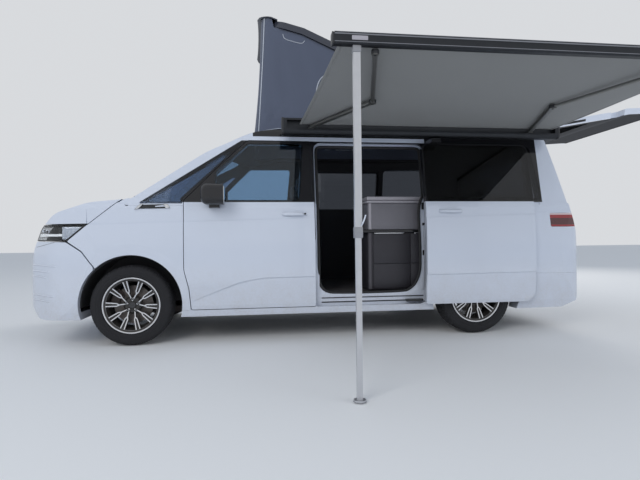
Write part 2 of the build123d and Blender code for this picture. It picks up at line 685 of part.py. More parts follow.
def caliper(x, sign):
    """A block cut from a ring round the disc's rim, with a slot for the disc, and its bracket."""
    with BuildPart() as piece:
        with BuildSketch(wheel_plane(x, sign, -42)):
            Circle(disc_r + 23)
            Circle(118, mode=Mode.SUBTRACT)
        extrude(amount=76)
        with BuildSketch(wheel_plane(x, sign, -42)):
            with BuildLine():
                Polyline((0, 0), polar(400, 0), polar(400, -sign * caliper_arc / 2), polar(400, -sign * caliper_arc),
                         close=True)
            make_face()
        extrude(amount=76, mode=Mode.INTERSECT)
        with BuildSketch(wheel_plane(x, sign, -12 - caliper_slot)):
            Circle(disc_r + caliper_slot)
        extrude(amount=22 + 2 * caliper_slot, mode=Mode.SUBTRACT)
        with BuildSketch(wheel_plane(x, sign, -96)):
            ribbon(Vector(0, 0), polar(150, -sign * caliper_arc / 2), 56)
        extrude(amount=56)
    return piece.part


# Front running gear: knuckle, lower arm, strut and steering
kingpin_y = 752
for name, sign in sides:
    with BuildPart() as knuckle:
        with BuildSketch(wheel_plane(0, sign, -128)):
            Circle(62)
        extrude(amount=100)
        with BuildSketch(wheel_plane(0, sign, -110)):
            RectangleRounded(90, 300, 20)
        extrude(amount=36)
        add(caliper(0, sign))
    pieces[f"steering_knuckle_{name}"] = knuckle

for axle, x, inner_y in axles:
    for name, sign in sides:
        with BuildPart() as disc:
            with BuildSketch(wheel_plane(x, sign, -12)):
                Circle(disc_r)
            extrude(amount=22)
            with BuildSketch(wheel_plane(x, sign, 10)):
                Circle(78)
            extrude(amount=14)
        pieces[f"{axle}_disc_{name}"] = disc

with BuildPart() as front_subframe:
    add(block(-330, 295, -360, 360, 205, 262))
    add(block(-200, 200, -250, 250, 200, 270), mode=Mode.SUBTRACT)
    for name, sign in sides:
        add(bar((-60, sign * 350, 230), (-10, sign * 664, 216), 70, 26, 8))
        add(bar((250, sign * 350, 230), (20, sign * 664, 216), 60, 26, 8))
pieces["front_subframe"] = front_subframe

with BuildPart() as rear_axle:
    add(block(-3250, -3000, -420, 420, 304, 336))
    for name, sign in sides:
        add(bar((-3125, sign * 400, 318), (-3125, sign * 690, 300), 120, 28, 8))
        add(bar((-2560, sign * 600, 316), (-3090, sign * 690, 298), 60, 34, 10))
        with BuildSketch(wheel_plane(-wheelbase, sign, -155)):
            RectangleRounded(150, 170, 30)
        extrude(amount=60)
        with BuildSketch(wheel_plane(-wheelbase, sign, -95)):
            Circle(60)
        extrude(amount=82)
        add(caliper(-wheelbase, sign))
pieces["rear_axle"] = rear_axle

with BuildPart() as engine_block:
    add(block(110, 600, -380, 380, 300, 880))
    fillet(engine_block.edges(), 20)
pieces["engine_block"] = engine_block

with BuildPart() as fuel_tank:
    add(block(-2500, -1800, -640, -120, 235, 332))
    fillet(fuel_tank.edges(), 25)
pieces["fuel_tank"] = fuel_tank

with BuildPart() as exhaust:
    with BuildLine():
        pipe_run = FilletPolyline(at(-350, 60, 270), at(-700, 140, 270), at(-2650, 140, 270), at(-2860, 40, 270),
                                  at(-3650, 40, 270), radius=60)
    with BuildSketch(Plane(pipe_run @ 0, z_dir=pipe_run % 0)):
        Circle(28)
    sweep()
    with Locations(at(-3790, 40, 275)):
        Box(300, 760, 100)
pieces["exhaust"] = exhaust

# Inside
column_r = 28
rake = radians(28)
wheel_hub = Plane(at(-690, 400, 1045), x_dir=(0, 1, 0), z_dir=(-cos(rake), 0, sin(rake)))
with BuildPart() as dashboard:
    add(side_prism([(-8, 640, 10), (-8, 1170, 10), (-330, 1150, 60), (-520, 1120, 40), (-545, 1010, 40),
                    (-400, 900, 60), (-330, 640, 20)], -870, 870) & cabin_form)
    cut_arches()
    with BuildSketch(wheel_hub):
        Circle(column_r + 6)
    extrude(amount=-400, mode=Mode.SUBTRACT)
pieces["dashboard"] = dashboard

# Node, x of the base's middle, width and the middles of its two seats
seat_rows = [("front_seats", -1180, 500, (400, -400)), ("rear_seats", -3260, 440, (60, -420))]
for node, x, seat_w, ys in seat_rows:
    with BuildPart() as seats:
        for y in ys:
            with Locations(at(x, y, (floor_z + 640) / 2)):
                Box(380, seat_w - 100, 640 - floor_z)
            with BuildSketch(side.offset(-y - seat_w / 2)):
                add(closed_outline([(x + 290, 630, 30), (x + 300, 790, 60), (x - 190, 750, 20), (x - 270, 1330, 40),
                                    (x - 390, 1330, 50), (x - 330, 650, 60)]))
            extrude(amount=seat_w)
            with Locations(at(x - 335, y, 1420)):
                Box(90, 270, 240)
    pieces[node] = seats

with BuildPart(wheel_hub) as steering_wheel:
    Torus(178, 15)
    with BuildSketch(wheel_hub):
        Circle(72)
        Rectangle(340, 40)
        with Locations((0, 85)):
            Rectangle(40, 170)
    extrude(amount=-24)
    with BuildSketch(wheel_hub):
        Circle(column_r)
    extrude(amount=-230)
pieces["steering_wheel"] = steering_wheel

with BuildPart() as kitchen_unit:
    add(plan_prism([(-2070, 320, 60), (-2070, 790, 60), (-3260, 790, 20), (-3260, 320, 20)], floor_z + 14, 962))
    add(plan_prism([(-2060, 312, 60), (-2060, 800, 60), (-3270, 800, 20), (-3270, 312, 20)], 962, 986))
    add(plan_prism([(-2066, 318, 60), (-2066, 794, 60), (-3264, 794, 20), (-3264, 318, 20)], 986, 1262))
    add(plan_prism([(-2060, 312, 60), (-2060, 800, 60), (-3270, 800, 20), (-3270, 312, 20)], 1262, 1300))
    with Locations(at(-wheelbase, 800, arch_z)):
        Cylinder(arch_r + 4, 310, rotation=(90, 0, 0), mode=Mode.SUBTRACT)
pieces["kitchen_unit"] = kitchen_unit

for name, piece in pieces.items():
    piece.part.label = name
    export_step(piece.part, f"parts/{name}.step")
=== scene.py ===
import json
import math

import bmesh
import bpy
from mathutils import Matrix, Vector


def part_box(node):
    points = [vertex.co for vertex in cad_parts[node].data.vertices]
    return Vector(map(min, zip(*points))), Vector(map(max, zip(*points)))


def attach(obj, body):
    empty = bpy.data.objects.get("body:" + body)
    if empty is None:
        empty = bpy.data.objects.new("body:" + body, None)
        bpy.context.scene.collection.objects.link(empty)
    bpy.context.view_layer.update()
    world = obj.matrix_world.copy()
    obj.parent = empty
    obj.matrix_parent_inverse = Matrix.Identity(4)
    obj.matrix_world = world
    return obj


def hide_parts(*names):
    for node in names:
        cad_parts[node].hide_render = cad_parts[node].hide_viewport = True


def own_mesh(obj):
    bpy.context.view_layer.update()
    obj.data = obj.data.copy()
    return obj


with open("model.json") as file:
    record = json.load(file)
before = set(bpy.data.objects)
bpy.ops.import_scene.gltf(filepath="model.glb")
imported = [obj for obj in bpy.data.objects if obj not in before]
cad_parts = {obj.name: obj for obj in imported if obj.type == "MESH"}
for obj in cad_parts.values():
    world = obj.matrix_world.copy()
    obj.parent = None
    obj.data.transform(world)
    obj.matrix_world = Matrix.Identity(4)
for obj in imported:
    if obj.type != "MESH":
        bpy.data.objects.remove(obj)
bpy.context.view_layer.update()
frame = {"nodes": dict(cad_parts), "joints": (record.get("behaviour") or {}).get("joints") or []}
nodes = frame["nodes"]

# Camera
# It stands beside the front half of the van, 0.90 m above the ground, and looks nearly square at its side.
# Its place, turn and focal length were fitted to the wheels, the doors and the roof line in the photograph.
front_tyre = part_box("front_tyre_left")
axle_x = (front_tyre[0].x + front_tyre[1].x) / 2
wheel_z = (front_tyre[0].z + front_tyre[1].z) / 2
centre_y = (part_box("front_tyre_right")[0].y + front_tyre[1].y) / 2
photo_width_px, focal_px, sensor_mm = 640, 481, 36
camera_back, camera_out, camera_height = 1.075, 5.24, 0.90
yaw, pitch, roll = math.radians(7.5), math.radians(-0.083), math.radians(-0.6)
camera_data = bpy.data.cameras.new("camera")
camera_data.sensor_width = sensor_mm
camera_data.lens = sensor_mm * focal_px / photo_width_px
camera = bpy.data.objects.new("camera", camera_data)
bpy.context.collection.objects.link(camera)
bpy.context.scene.camera = camera
forward = Vector((-math.sin(yaw) * math.cos(pitch), -math.cos(yaw) * math.cos(pitch), math.sin(pitch)))
level_right = Vector((-math.cos(yaw), math.sin(yaw), 0))
level_up = level_right.cross(forward)
right = math.cos(roll) * level_right + math.sin(roll) * level_up
up = -math.sin(roll) * level_right + math.cos(roll) * level_up
camera.matrix_world = Matrix.LocRotScale(
    Vector((axle_x - camera_back, centre_y + camera_out, camera_height)),
    Matrix((right, up, -forward)).transposed().to_quaternion(), None)

# Floor, sky and lights
# A plain studio: a pale matt floor, a faintly blue sky that lights the van, and a pale grey one that the camera,
# glass and metal see in its place. Three soft lamps give the panels some shape.
bpy.ops.object.select_all(action="DESELECT")
bpy.ops.mesh.primitive_plane_add(size=80, location=(0, 0, -0.002))
floor = bpy.context.object
floor.name = "floor"
floor_paint = bpy.data.materials.new("pale_floor")
floor_paint.use_nodes = True
floor_shader = floor_paint.node_tree.nodes["Principled BSDF"]
floor_shader.inputs["Base Color"].default_value = (0.86, 0.87, 0.88, 1)
floor_shader.inputs["Roughness"].default_value = 0.85
floor.data.materials.append(floor_paint)


def feed(socket, value):
    """Links a socket to another, or sets it to a plain number or colour."""
    if isinstance(value, bpy.types.NodeSocket):
        socket.id_data.links.new(value, socket)
    else:
        socket.default_value = (*value, 1) if socket.type == "RGBA" else value


def wire(node, **values):
    """Feeds a node's inputs by their names, in which _ stands for a space."""
    for title, value in values.items():
        feed(node.inputs[title.replace("_", " ")], value)


def add_node(kind, *values):
    """A new node in the tree that the first socket among some values belongs to."""
    tree = next(value for value in values if isinstance(value, bpy.types.NodeSocket)).id_data
    return tree.nodes.new("ShaderNode" + kind)


def math_node(operation, first, second=0.0, clamp=False):
    """The result of one sum of sockets and numbers."""
    node = add_node("Math", first, second)
    node.operation, node.use_clamp = operation, clamp
    feed(node.inputs[0], first)
    feed(node.inputs[1], second)
    return node.outputs[0]


world = bpy.data.worlds.new("studio")
bpy.context.scene.world = world
world.use_nodes = True
sky_tree = world.node_tree
sky = sky_tree.nodes["Background"]
wire(sky, Color=(0.80, 0.88, 1.0), Strength=0.55)
seen_sky = sky_tree.nodes.new("ShaderNodeBackground")
wire(seen_sky, Color=(0.86, 0.88, 0.91), Strength=0.8)
rays = sky_tree.nodes.new("ShaderNodeLightPath").outputs
pick_sky = sky_tree.nodes.new("ShaderNodeMixShader")
by_gloss = math_node("ADD", rays["Is Glossy Ray"], rays["Is Transmission Ray"])
feed(pick_sky.inputs["Fac"], math_node("ADD", rays["Is Camera Ray"], by_gloss, clamp=True))
feed(pick_sky.inputs[1], sky.outputs[0])
feed(pick_sky.inputs[2], seen_sky.outputs[0])
wire(sky_tree.nodes["World Output"], Surface=pick_sky.outputs[0])
bpy.context.scene.view_settings.view_transform = "Standard"


def softbox(name, place, aim, size, power, colour):
    """A square area lamp that points at a place and shows in no reflection, where it would clip to white."""
    data = bpy.data.lights.new(name, "AREA")
    data.shape, data.size, data.energy, data.color = "SQUARE", size, power, colour
    lamp = bpy.data.objects.new(name, data)
    bpy.context.collection.objects.link(lamp)
    lamp.location = place
    lamp.visible_glossy = False
    lamp.rotation_mode = "QUATERNION"
    lamp.rotation_quaternion = (Vector(aim) - Vector(place)).to_track_quat("-Z", "Y")


softbox("key_lamp", (6, 9, 6), (0, 0, 1), 5, 430, (1, 0.98, 0.95))
softbox("fill_lamp", (-7, 8, 4), (-1, 0, 1), 5, 200, (0.95, 0.97, 1))
softbox("rim_lamp", (-5, -8, 6), (0, 0, 1.2), 5, 260, (1, 0.96, 0.9))


# Body panels
# The welded shell, wings, bumpers, bonnet, doors and tailgate are pressed steel in white paint under clear coat.
# The window band and the roof gutter are gloss black, and the cabin side of each panel is lined.
van_origin = Vector((axle_x, centre_y, 0))
belt_z = 1.236
gutter_z = 1.846


def at(x, y, z):
    """A place given from the ground under the middle of the front axle."""
    return van_origin + Vector((x, y, z))


def socket_group(name, inputs, outputs):
    """An empty node group with float inputs and outputs, or vector ones where the name says so."""
    group = bpy.data.node_groups.new(name, "ShaderNodeTree")
    for title, value in inputs.items():
        kind = "NodeSocketVector" if value is None else "NodeSocketFloat"
        socket = group.interface.new_socket(title, in_out="INPUT", socket_type=kind)
        if value is not None:
            socket.default_value = value
    for title in outputs:
        group.interface.new_socket(title, in_out="OUTPUT", socket_type="NodeSocketFloat")
    return group, group.nodes.new("NodeGroupInput").outputs, group.nodes.new("NodeGroupOutput")


def plus(first, second):
    """The sum of two values."""
    return math_node("ADD", first, second)


def minus(first, second, clamp=False):
    """One value less another."""
    return math_node("SUBTRACT", first, second, clamp)


def times(first, second, clamp=False):
    """The product of two values."""
    return math_node("MULTIPLY", first, second, clamp)


def above(value, edge, soft=0.002):
    """A mask that is 1 where the value is past the edge, with a narrow soft step."""
    node = add_node("MapRange", value, edge)
    node.interpolation_type = "SMOOTHSTEP"
    wire(node, Value=minus(value, edge), From_Min=-soft, From_Max=soft)
    return node.outputs["Result"]


def below(value, edge, soft=0.002):
    """A mask that is 1 where the value is short of the edge."""
    return minus(1.0, above(value, edge, soft))


def both(*masks):
    """The overlap of some masks."""
    result = masks[0]
    for mask in masks[1:]:
        result = times(result, mask)
    return result


def either(*masks):
    """The union of some masks."""
    result = masks[0]
    for mask in masks[1:]:
        result = math_node("MAXIMUM", result, mask)
    return result


def blend_value(mask, first, second, kind="FLOAT"):
    """A mix of two numbers by a mask."""
    node = add_node("Mix", mask)
    node.data_type = kind
    wire(node, Factor=mask, A=first, B=second)
    return node.outputs["Result"]


def blend_colour(mask, first, second):
    """A mix of two colours by a mask, each a socket or three numbers."""
    return blend_value(mask, first, second, "RGBA")


def pattern(kind, place, **values):
    """A node of some kind that works on a place, with its other inputs set."""
    node = add_node(kind, place)
    wire(node, Vector=place, **values)
    return node


def noise(place, scale, detail=3.0, roughness=0.55):
    """A noise pattern between 0 and 1."""
    return pattern("TexNoise", place, Scale=scale, Detail=detail, Roughness=roughness).outputs["Fac"]


def new_finish(name, colour, roughness, metallic=0.0, coat=0.0):
    """A Principled material with plain values. It gives the material, its shader and its place socket."""
    material = bpy.data.materials.new(name)
    material.use_nodes = True
    shader = material.node_tree.nodes["Principled BSDF"]
    wire(shader, Base_Color=colour, Roughness=roughness, Metallic=metallic, Coat_Weight=coat, Coat_Roughness=0.06)
    return material, shader, material.node_tree.nodes.new("ShaderNodeTexCoord").outputs["Object"]


def relief(shader, height, strength, distance):
    """A bump from a height pattern, its distance in metres."""
    node = add_node("Bump", height)
    wire(node, Strength=strength, Distance=distance, Height=height)
    wire(shader, Normal=node.outputs["Normal"])


def apply_group(group, **inputs):
    """A node group placed in a material, with its inputs linked or set."""
    node = add_node("Group", *inputs.values())
    node.node_tree = group
    wire(node, **inputs)
    return node.outputs


def paint(nodes_painted, material):
    """Gives CAD nodes one material."""
    for name in nodes_painted:
        nodes[name].data.materials.clear()
        nodes[name].data.materials.append(material)


def toned(colour, amount):
    """A colour made lighter or darker."""
    return tuple(amount * part for part in colour)


def over(value, edge, slope):
    """How far a value is over an edge, times a slope, and nothing under it."""
    return times(math_node("MAXIMUM", minus(value, edge), 0.0), slope)


# A point's place from the front axle, and how deep it lies under the side panels. They lean in with the glass above
# the waist, pull in a little below it and tuck in towards the sill.
half_body = 0.968
waist_z, glass_lean = 1.235, 0.212
tumble_z, tumble_slope, tumble_most = 0.9, 0.08, 0.027
tuck_z, tuck_slope = 0.52, 0.13
van_place, given, made = socket_group("van_place", {"Place": None, "Back": 0.0, "Out": 0.0},
                                      ["Along", "Across", "Up", "Depth"])
split = pattern("SeparateXYZ", given["Place"])
along = minus(plus(split.outputs["X"], given["Back"]), van_origin.x)
across = math_node("ABSOLUTE", minus(split.outputs["Y"], van_origin.y))
across = minus(across, given["Out"])
height = split.outputs["Z"]
tumble = math_node("MINIMUM", over(height, tumble_z, tumble_slope), tumble_most)
half_width = minus(half_body, tumble)
half_width = minus(half_width, over(height, waist_z, glass_lean))
half_width = minus(half_width, over(tuck_z, height, tuck_slope))
wire(made, Along=along, Across=across, Up=height, Depth=minus(half_width, across))

# Dust thrown up by the wheels lies in patches, thickest near the ground.
dust_strength = 3.2
road_dust, given, made = socket_group("road_dust", {"Place": None, "Up": 0.0, "Reach": 0.5, "Amount": 0.5}, ["Dust"])
fade = minus(1.0, math_node("DIVIDE", given["Up"], given["Reach"], clamp=True))
cloud = times(noise(given["Place"], 9.0, 6.0), noise(given["Place"], 60.0, 2.0))
cloud = times(cloud, dust_strength)
wire(made, Dust=times(times(fade, given["Amount"]), cloud, clamp=True))

# The white paint is given a blue tint: painted shade from a blue sky, where the real paint is plain white.
shade_tinted_white = (0.60, 0.65, 0.75)
gloss_black = (0.012, 0.012, 0.014)
lining = (0.035, 0.035, 0.04)
dust_colour = (0.36, 0.31, 0.25)


def white_coat(place):
    """White paint, tinted blue as painted shade of a blue sky, with a faint change of tone over the panels."""
    return blend_colour(noise(place, 1.3), shade_tinted_white, toned(shade_tinted_white, 0.965))


def painted(name, black_mask=None, lined_mask=None, back=0.0, out=0.0):
    """White paint, tinted blue as painted sky shade, with faint dust low down. The masks are functions of the place in
    the van.
    """
    material, shader, place = new_finish(name, shade_tinted_white, 0.32, coat=1.0)
    spot = apply_group(van_place, Place=place, Back=back, Out=out)
    dust = apply_group(road_dust, Place=place, Up=spot["Up"], Reach=0.75, Amount=0.35)["Dust"]
    colour = blend_colour(dust, white_coat(place), dust_colour)
    rough = blend_value(dust, 0.32, 0.75)
    coat = minus(1.0, dust, clamp=True)
    for mask_of, tint, skin in ((black_mask, gloss_black, 0.10), (lined_mask, lining, 0.85)):
        if mask_of:
            mask = mask_of(spot)
            colour = blend_colour(mask, colour, tint)
            rough = blend_value(mask, rough, skin)
            coat = times(coat, minus(1.0, mask))
    wire(shader, Base_Color=colour, Roughness=rough, Coat_Weight=coat)
    relief(shader, noise(place, 420.0, 1.0), 0.08, 0.0004)
    return material


side_rear_x = -3.80
skin_depth = 0.05
pillar_slope, pillar_foot_z = -0.654, 1.185


def shell_black(spot):
    """The window band under the screen pillar's slope, the roof gutter and the cowl."""
    along, height = spot["Along"], spot["Up"]
    on_side, by_skin = above(along, side_rear_x), below(spot["Depth"], skin_depth)
    slope = plus(times(along, pillar_slope), pillar_foot_z)
    band = both(above(height, belt_z), below(height, 1.806), below(height, slope),
                below(along, -0.06), on_side, by_skin)
    gutter = both(above(height, gutter_z), by_skin, below(along, -1.05), on_side)
    rear_top = both(above(height, 1.78), below(along, -2.67), on_side)
    cowl = both(above(along, -0.16), below(spot["Across"], 0.80))
    return either(band, gutter, rear_top, cowl)


def shell_lined(spot):
    """Everything well inside the side panels, and the floor and roof between them."""
    along, height, depth = spot["Along"], spot["Up"], spot["Depth"]
    inside = both(above(depth, 0.072), above(along, -4.06), below(along, -0.30),
                  above(height, 0.385), below(height, 1.895))
    under = both(below(height, 0.36), above(depth, 0.09))
    return either(inside, under)


def door_black(spot):
    """The frame round a door's window."""
    return above(spot["Up"], belt_z)


def door_lined(spot):
    """The trim on a door's cabin side."""
    return above(spot["Depth"], skin_depth)


slid_back, slid_out = 1.003, 0.076
door_paint = painted("door_paint", door_black, door_lined)
paint(["body_shell"], painted("shell_paint", shell_black, shell_lined))
paint(["front_fenders", "front_bumper", "rear_bumper", "bonnet"], painted("panel_paint"))
paint(["front_door_left", "front_door_right", "sliding_door_right"], door_paint)
paint(["sliding_door_left"], painted("slid_door_paint", door_black, door_lined, slid_back, slid_out))

# Tailgate
# A steel lid in two-tone paint, white below its window and black round it, with a trim panel on the cabin side.
# It hangs open, so its places are turned back shut before the masks are worked out.
joints = {joint["name"]: joint for joint in frame["joints"]}
lid_hinge = joints["tailgate_hinge"]
lid_turn = math.radians(lid_hinge["range_deg"][0])
rear_lean, rear_foot_x = 0.254, 4.38
lid_side_slope, lid_side_depth = -0.07, 0.2232
lid_edge = 0.014
material, shader, place = new_finish("tailgate_paint", shade_tinted_white, 0.32, coat=1.0)
turn = pattern("VectorRotate", place, Center=lid_hinge["pos_m"], Axis=(0, 1, 0), Angle=lid_turn)
turn.rotation_type = "AXIS_ANGLE"
shut = apply_group(van_place, Place=turn.outputs["Vector"])
height = shut["Up"]
behind = minus(shut["Along"], minus(times(height, rear_lean), rear_foot_x))
inset = minus(shut["Depth"], plus(times(height, lid_side_slope), lid_side_depth))
trimmed = both(above(behind, 0.048), above(inset, lid_edge), below(height, 1.93))
dark_band = both(above(height, 1.22), below(height, 1.84), above(inset, lid_edge))
side_seal = both(below(inset, lid_edge), above(behind, 0.026), below(behind, 0.050),
                 above(height, 1.40), below(height, 1.86))
dark_band = either(dark_band, side_seal)
colour = blend_colour(dark_band, white_coat(place), gloss_black)
wire(shader, Base_Color=blend_colour(trimmed, colour, lining), Roughness=blend_value(trimmed, 0.3, 0.8),
     Coat_Weight=minus(1.0, either(trimmed, dark_band)))
paint(["tailgate"], material)

# Glass
# Laminated screen and tempered side panes, bonded in. The cab's are faintly blue and the living space's near black.
def glass_finish(name, colour, dark_mask=None):
    """Tinted glass, with a second, much darker tint where a mask says so."""
    material, shader, place = new_finish(name, colour, 0.02)
    film = blend_colour(noise(place, 2.5), colour, toned(colour, 0.92))
    if dark_mask:
        spot = apply_group(van_place, Place=place)
        film = blend_colour(dark_mask(spot), film, privacy_tint)
    wire(shader, Base_Color=film, Transmission_Weight=1.0, IOR=1.45)
    return material


cab_tint = (0.38, 0.53, 0.68)
quarter_tint = (0.20, 0.26, 0.38)
privacy_tint = (0.05, 0.055, 0.065)
paint(["windscreen", "front_door_glass_left", "front_door_glass_right"], glass_finish("cab_glass", cab_tint))
paint(["fixed_side_glass"],
      glass_finish("side_glass", quarter_tint, lambda spot: below(spot["Along"], -2.0)))
paint(["sliding_door_glass_left", "sliding_door_glass_right", "tailgate_glass"],
      glass_finish("privacy_glass", privacy_tint))

# Lamps and grilles
# Clear polycarbonate covers over dark moulded bowls in front, red covers at the rear, and gloss black grilles.
lens_clear, shader, place = new_finish("lens_clear", (0.86, 0.88, 0.90), 0.03)
wire(shader, Transmission_Weight=1.0, IOR=1.35)
paint(["headlamp_lenses"], lens_clear)

lens_red, shader, place = new_finish("lens_red", (0.5, 0.01, 0.02), 0.06, coat=1.0)
spot = apply_group(van_place, Place=place)
ribs = pattern("TexWave", place, Scale=40)
ribs.bands_direction = "Z"
red = blend_colour(ribs.outputs["Fac"], (0.22, 0.004, 0.010), (0.32, 0.007, 0.014))
middle_strip = both(below(spot["Up"], 1.082), above(spot["Up"], 1.018))
red = blend_colour(middle_strip, red, (0.07, 0.003, 0.007))
red = blend_colour(above(spot["Up"], 1.113), red, (0.62, 0.50, 0.52))
wire(shader, Base_Color=red)
paint(["tail_lamp_lenses"], lens_red)


def moulded(name, colour, roughness, grain=0.25, coat=0.0):
    """Moulded plastic with a fine pebble grain and a little dust in it."""
    material, shader, place = new_finish(name, colour, roughness, coat=coat)
    cells = pattern("TexVoronoi", place, Scale=550)
    relief(shader, cells.outputs["Distance"], grain, 0.0006)
    cloud = noise(place, 7.0, 5.0)
    dusty = tuple(min(1.0, 1.25 * part + 0.004) for part in colour)
    wire(shader, Base_Color=blend_colour(cloud, colour, dusty),
         Roughness=blend_value(cloud, roughness - 0.06, roughness + 0.08))
    return material


gloss_trim = moulded("gloss_trim", gloss_black, 0.14, grain=0.02)
dark_moulding = moulded("dark_moulding", (0.022, 0.022, 0.024), 0.62)
paint(["upper_grille", "lower_grille", "mirror_left", "mirror_right"], gloss_trim)
paint(["headlamp_bowls", "tail_lamp_bowls", "wheel_arch_liners"], dark_moulding)

# Lifting roof and awning metalwork
# The roof is a moulded sandwich shell in gloss black. The awning's case and rail are anthracite extrusions,
# its arms grey castings and its legs bright anodised tubes.
roof_shell = moulded("roof_shell", (0.030, 0.034, 0.048), 0.3, grain=0.03, coat=0.25)
paint(["pop_up_roof"], roof_shell)


def anodised(name, colour, roughness, run=(1.0, 90.0, 90.0)):
    """Extruded aluminium with fine draw lines along it and faint handling marks."""
    material, shader, place = new_finish(name, colour, roughness, metallic=1.0)
    lines = noise(pattern("Mapping", place, Scale=run).outputs["Vector"], 3.0, 4.0)
    marks = noise(place, 12.0, 5.0, 0.7)
    wire(shader, Base_Color=blend_colour(marks, colour, toned(colour, 0.86)),
         Roughness=blend_value(both(lines, marks), roughness, roughness + 0.3))
    relief(shader, lines, 0.1, 0.0003)
    return material


anthracite = anodised("anthracite", (0.055, 0.058, 0.064), 0.42)
paint(["awning_case", "awning_front_rail"], anthracite)
paint(["awning_arms"], anodised("arm_grey", (0.25, 0.25, 0.24), 0.42))
paint(["awning_legs"], anodised("silver_upright", (0.70, 0.71, 0.74), 0.34, run=(90.0, 90.0, 1.0)))

# Wheels
# Cast alloy rims in black lacquer, their blades and lip then turned bright on a lathe. The tyres on them are
# black rubber.
wheel_middle_y = 0.822
blade_slope, blade_foot = 0.153, 0.0655


def rim_finish(name, axle_place):
    """Black rim with bright faces, told apart by how far out a point stands at its radius."""
    material, shader, place = new_finish(name, (0.6, 0.6, 0.62), 0.25)
    spot = apply_group(van_place, Place=place, Back=-axle_place)
    reach, rise = (math_node("POWER", side, 2.0) for side in (spot["Along"], minus(spot["Up"], wheel_z)))
    radius = math_node("SQRT", plus(reach, rise))
    outward = minus(spot["Across"], wheel_middle_y)
    blade_height = plus(times(radius, blade_slope), blade_foot)
    blade = both(above(outward, minus(blade_height, 0.0035), 0.0008),
                 above(radius, 0.036), below(radius, 0.2145))
    lip = both(above(outward, 0.1045, 0.0008), above(radius, 0.2175))
    bright = either(blade, lip)
    rings = math_node("SINE", times(radius, 9000.0))
    dust = apply_group(road_dust, Place=place, Up=0.1, Reach=1.0, Amount=0.35)["Dust"]
    dark = blend_colour(dust, (0.010, 0.010, 0.011), (0.09, 0.08, 0.07))
    wire(shader, Base_Color=blend_colour(bright, dark, (0.74, 0.74, 0.76)), Metallic=bright,
         Roughness=blend_value(bright, blend_value(dust, 0.22, 0.7), 0.26))
    relief(shader, times(rings, bright), 0.05, 0.0002)
    return material


rear_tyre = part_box("rear_tyre_left")
rear_axle_x = (rear_tyre[0].x + rear_tyre[1].x) / 2 - axle_x
paint(["front_rim_left", "front_rim_right"], rim_finish("front_rim_finish", 0.0))
paint(["rear_rim_left", "rear_rim_right"], rim_finish("rear_rim_finish", rear_axle_x))
rubber = moulded("rubber", (0.012, 0.012, 0.014), 0.8, grain=0.1)
paint(["front_tyre_left", "front_tyre_right", "rear_tyre_left", "rear_tyre_right"], rubber)

# Running gear
# Ground iron discs, black painted arms and carriers, a bare casting for the engine, and a stainless exhaust.
def iron_finish(name, colour, roughness, metallic, rust):
    """Cast or pressed iron with a rough skin and a bloom of rust."""
    material, shader, place = new_finish(name, colour, roughness, metallic)
    patches = times(noise(place, 22.0, 6.0), noise(place, 5.0))
    bloom = times(patches, rust)
    wire(shader, Base_Color=blend_colour(bloom, colour, (0.16, 0.07, 0.035)),
         Roughness=blend_value(bloom, roughness, 0.85))
    relief(shader, noise(place, 260.0, 3.0), 0.25, 0.0008)
    return material


# The discs are made darker than bare ground iron: painted shade behind the wheels' spokes.
paint(["front_disc_left", "front_disc_right", "rear_disc_left", "rear_disc_right"],
      iron_finish("shade_darkened_iron", (0.15, 0.145, 0.14), 0.4, 0.8, 0.5))
paint(["steering_knuckle_left", "steering_knuckle_right", "front_subframe", "rear_axle"],
      iron_finish("chassis_black", (0.03, 0.03, 0.032), 0.55, 0.0, 0.4))
paint(["engine_block"], iron_finish("bare_casting", (0.20, 0.20, 0.205), 0.6, 0.7, 0.3))
paint(["fuel_tank"], dark_moulding)
paint(["exhaust"], iron_finish("stainless", (0.42, 0.40, 0.37), 0.4, 0.9, 0.6))

# Cabin mouldings and furniture
# The dashboard and the steering wheel's rim are grained plastic. The kitchen and the seats have a plain grey face
# here, and the pieces that stand for them come further down.
paint(["dashboard", "steering_wheel"], dark_moulding)
paint(["kitchen_unit", "front_seats", "rear_seats"], moulded("laminate", (0.20, 0.20, 0.205), 0.5, grain=0.08))

# Roof tent
# One ring of coated cotton, screwed down round the roof opening and up round the underside of the lifting shell.
# Its corners are welted, and it has a vent flap and an arched window in its side.
def begin(*pieces):
    """Selects some pieces and nothing else, so that the next operator acts on them alone. The first is active."""
    if bpy.context.object and bpy.context.object.mode == "EDIT":
        bpy.ops.object.mode_set(mode="OBJECT")
    bpy.ops.object.select_all(action="DESELECT")
    for piece in pieces:
        piece.select_set(True)
    if pieces:
        bpy.context.view_layer.objects.active = pieces[0]


def plain_mesh(piece):
    """Makes a mesh of a curve and applies a piece's modifiers."""
    begin(piece)
    if piece.type == "CURVE":
        bpy.ops.object.convert(target="MESH")
    for modifier in list(piece.modifiers):
        bpy.ops.object.modifier_apply(modifier=modifier.name)
    return bpy.context.object


def settle(parts, name, material, body):
    """Makes one mesh of a part or a list of parts, applies its place, and gives it a name, a finish and a body."""
    parts = [plain_mesh(part) for part in (parts if isinstance(parts, list) else [parts])]
    begin(*parts)
    if len(parts) > 1:
        bpy.ops.object.join()
    bpy.ops.object.transform_apply(location=True, rotation=True, scale=True)
    piece = bpy.context.object
    piece.name = piece.data.name = name
    piece.data.materials.clear()
    piece.data.materials.append(material)
    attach(piece, body)
    return piece


def cloth_grid(rows, closed=False):
    """A sheet from rows of places. A closed one joins each row's end to its start."""
    mesh = bpy.data.meshes.new("cloth")
    width = len(rows[0])
    faces = []
    for row in range(len(rows) - 1):
        for column in range(width if closed else width - 1):
            beside = (column + 1) % width
            faces.append((row * width + column, row * width + beside,
                          (row + 1) * width + beside, (row + 1) * width + column))
    mesh.from_pydata([place for row in rows for place in row], [], faces)
    for polygon in mesh.polygons:
        polygon.use_smooth = True
    piece = bpy.data.objects.new("cloth", mesh)
    bpy.context.collection.objects.link(piece)
    return piece


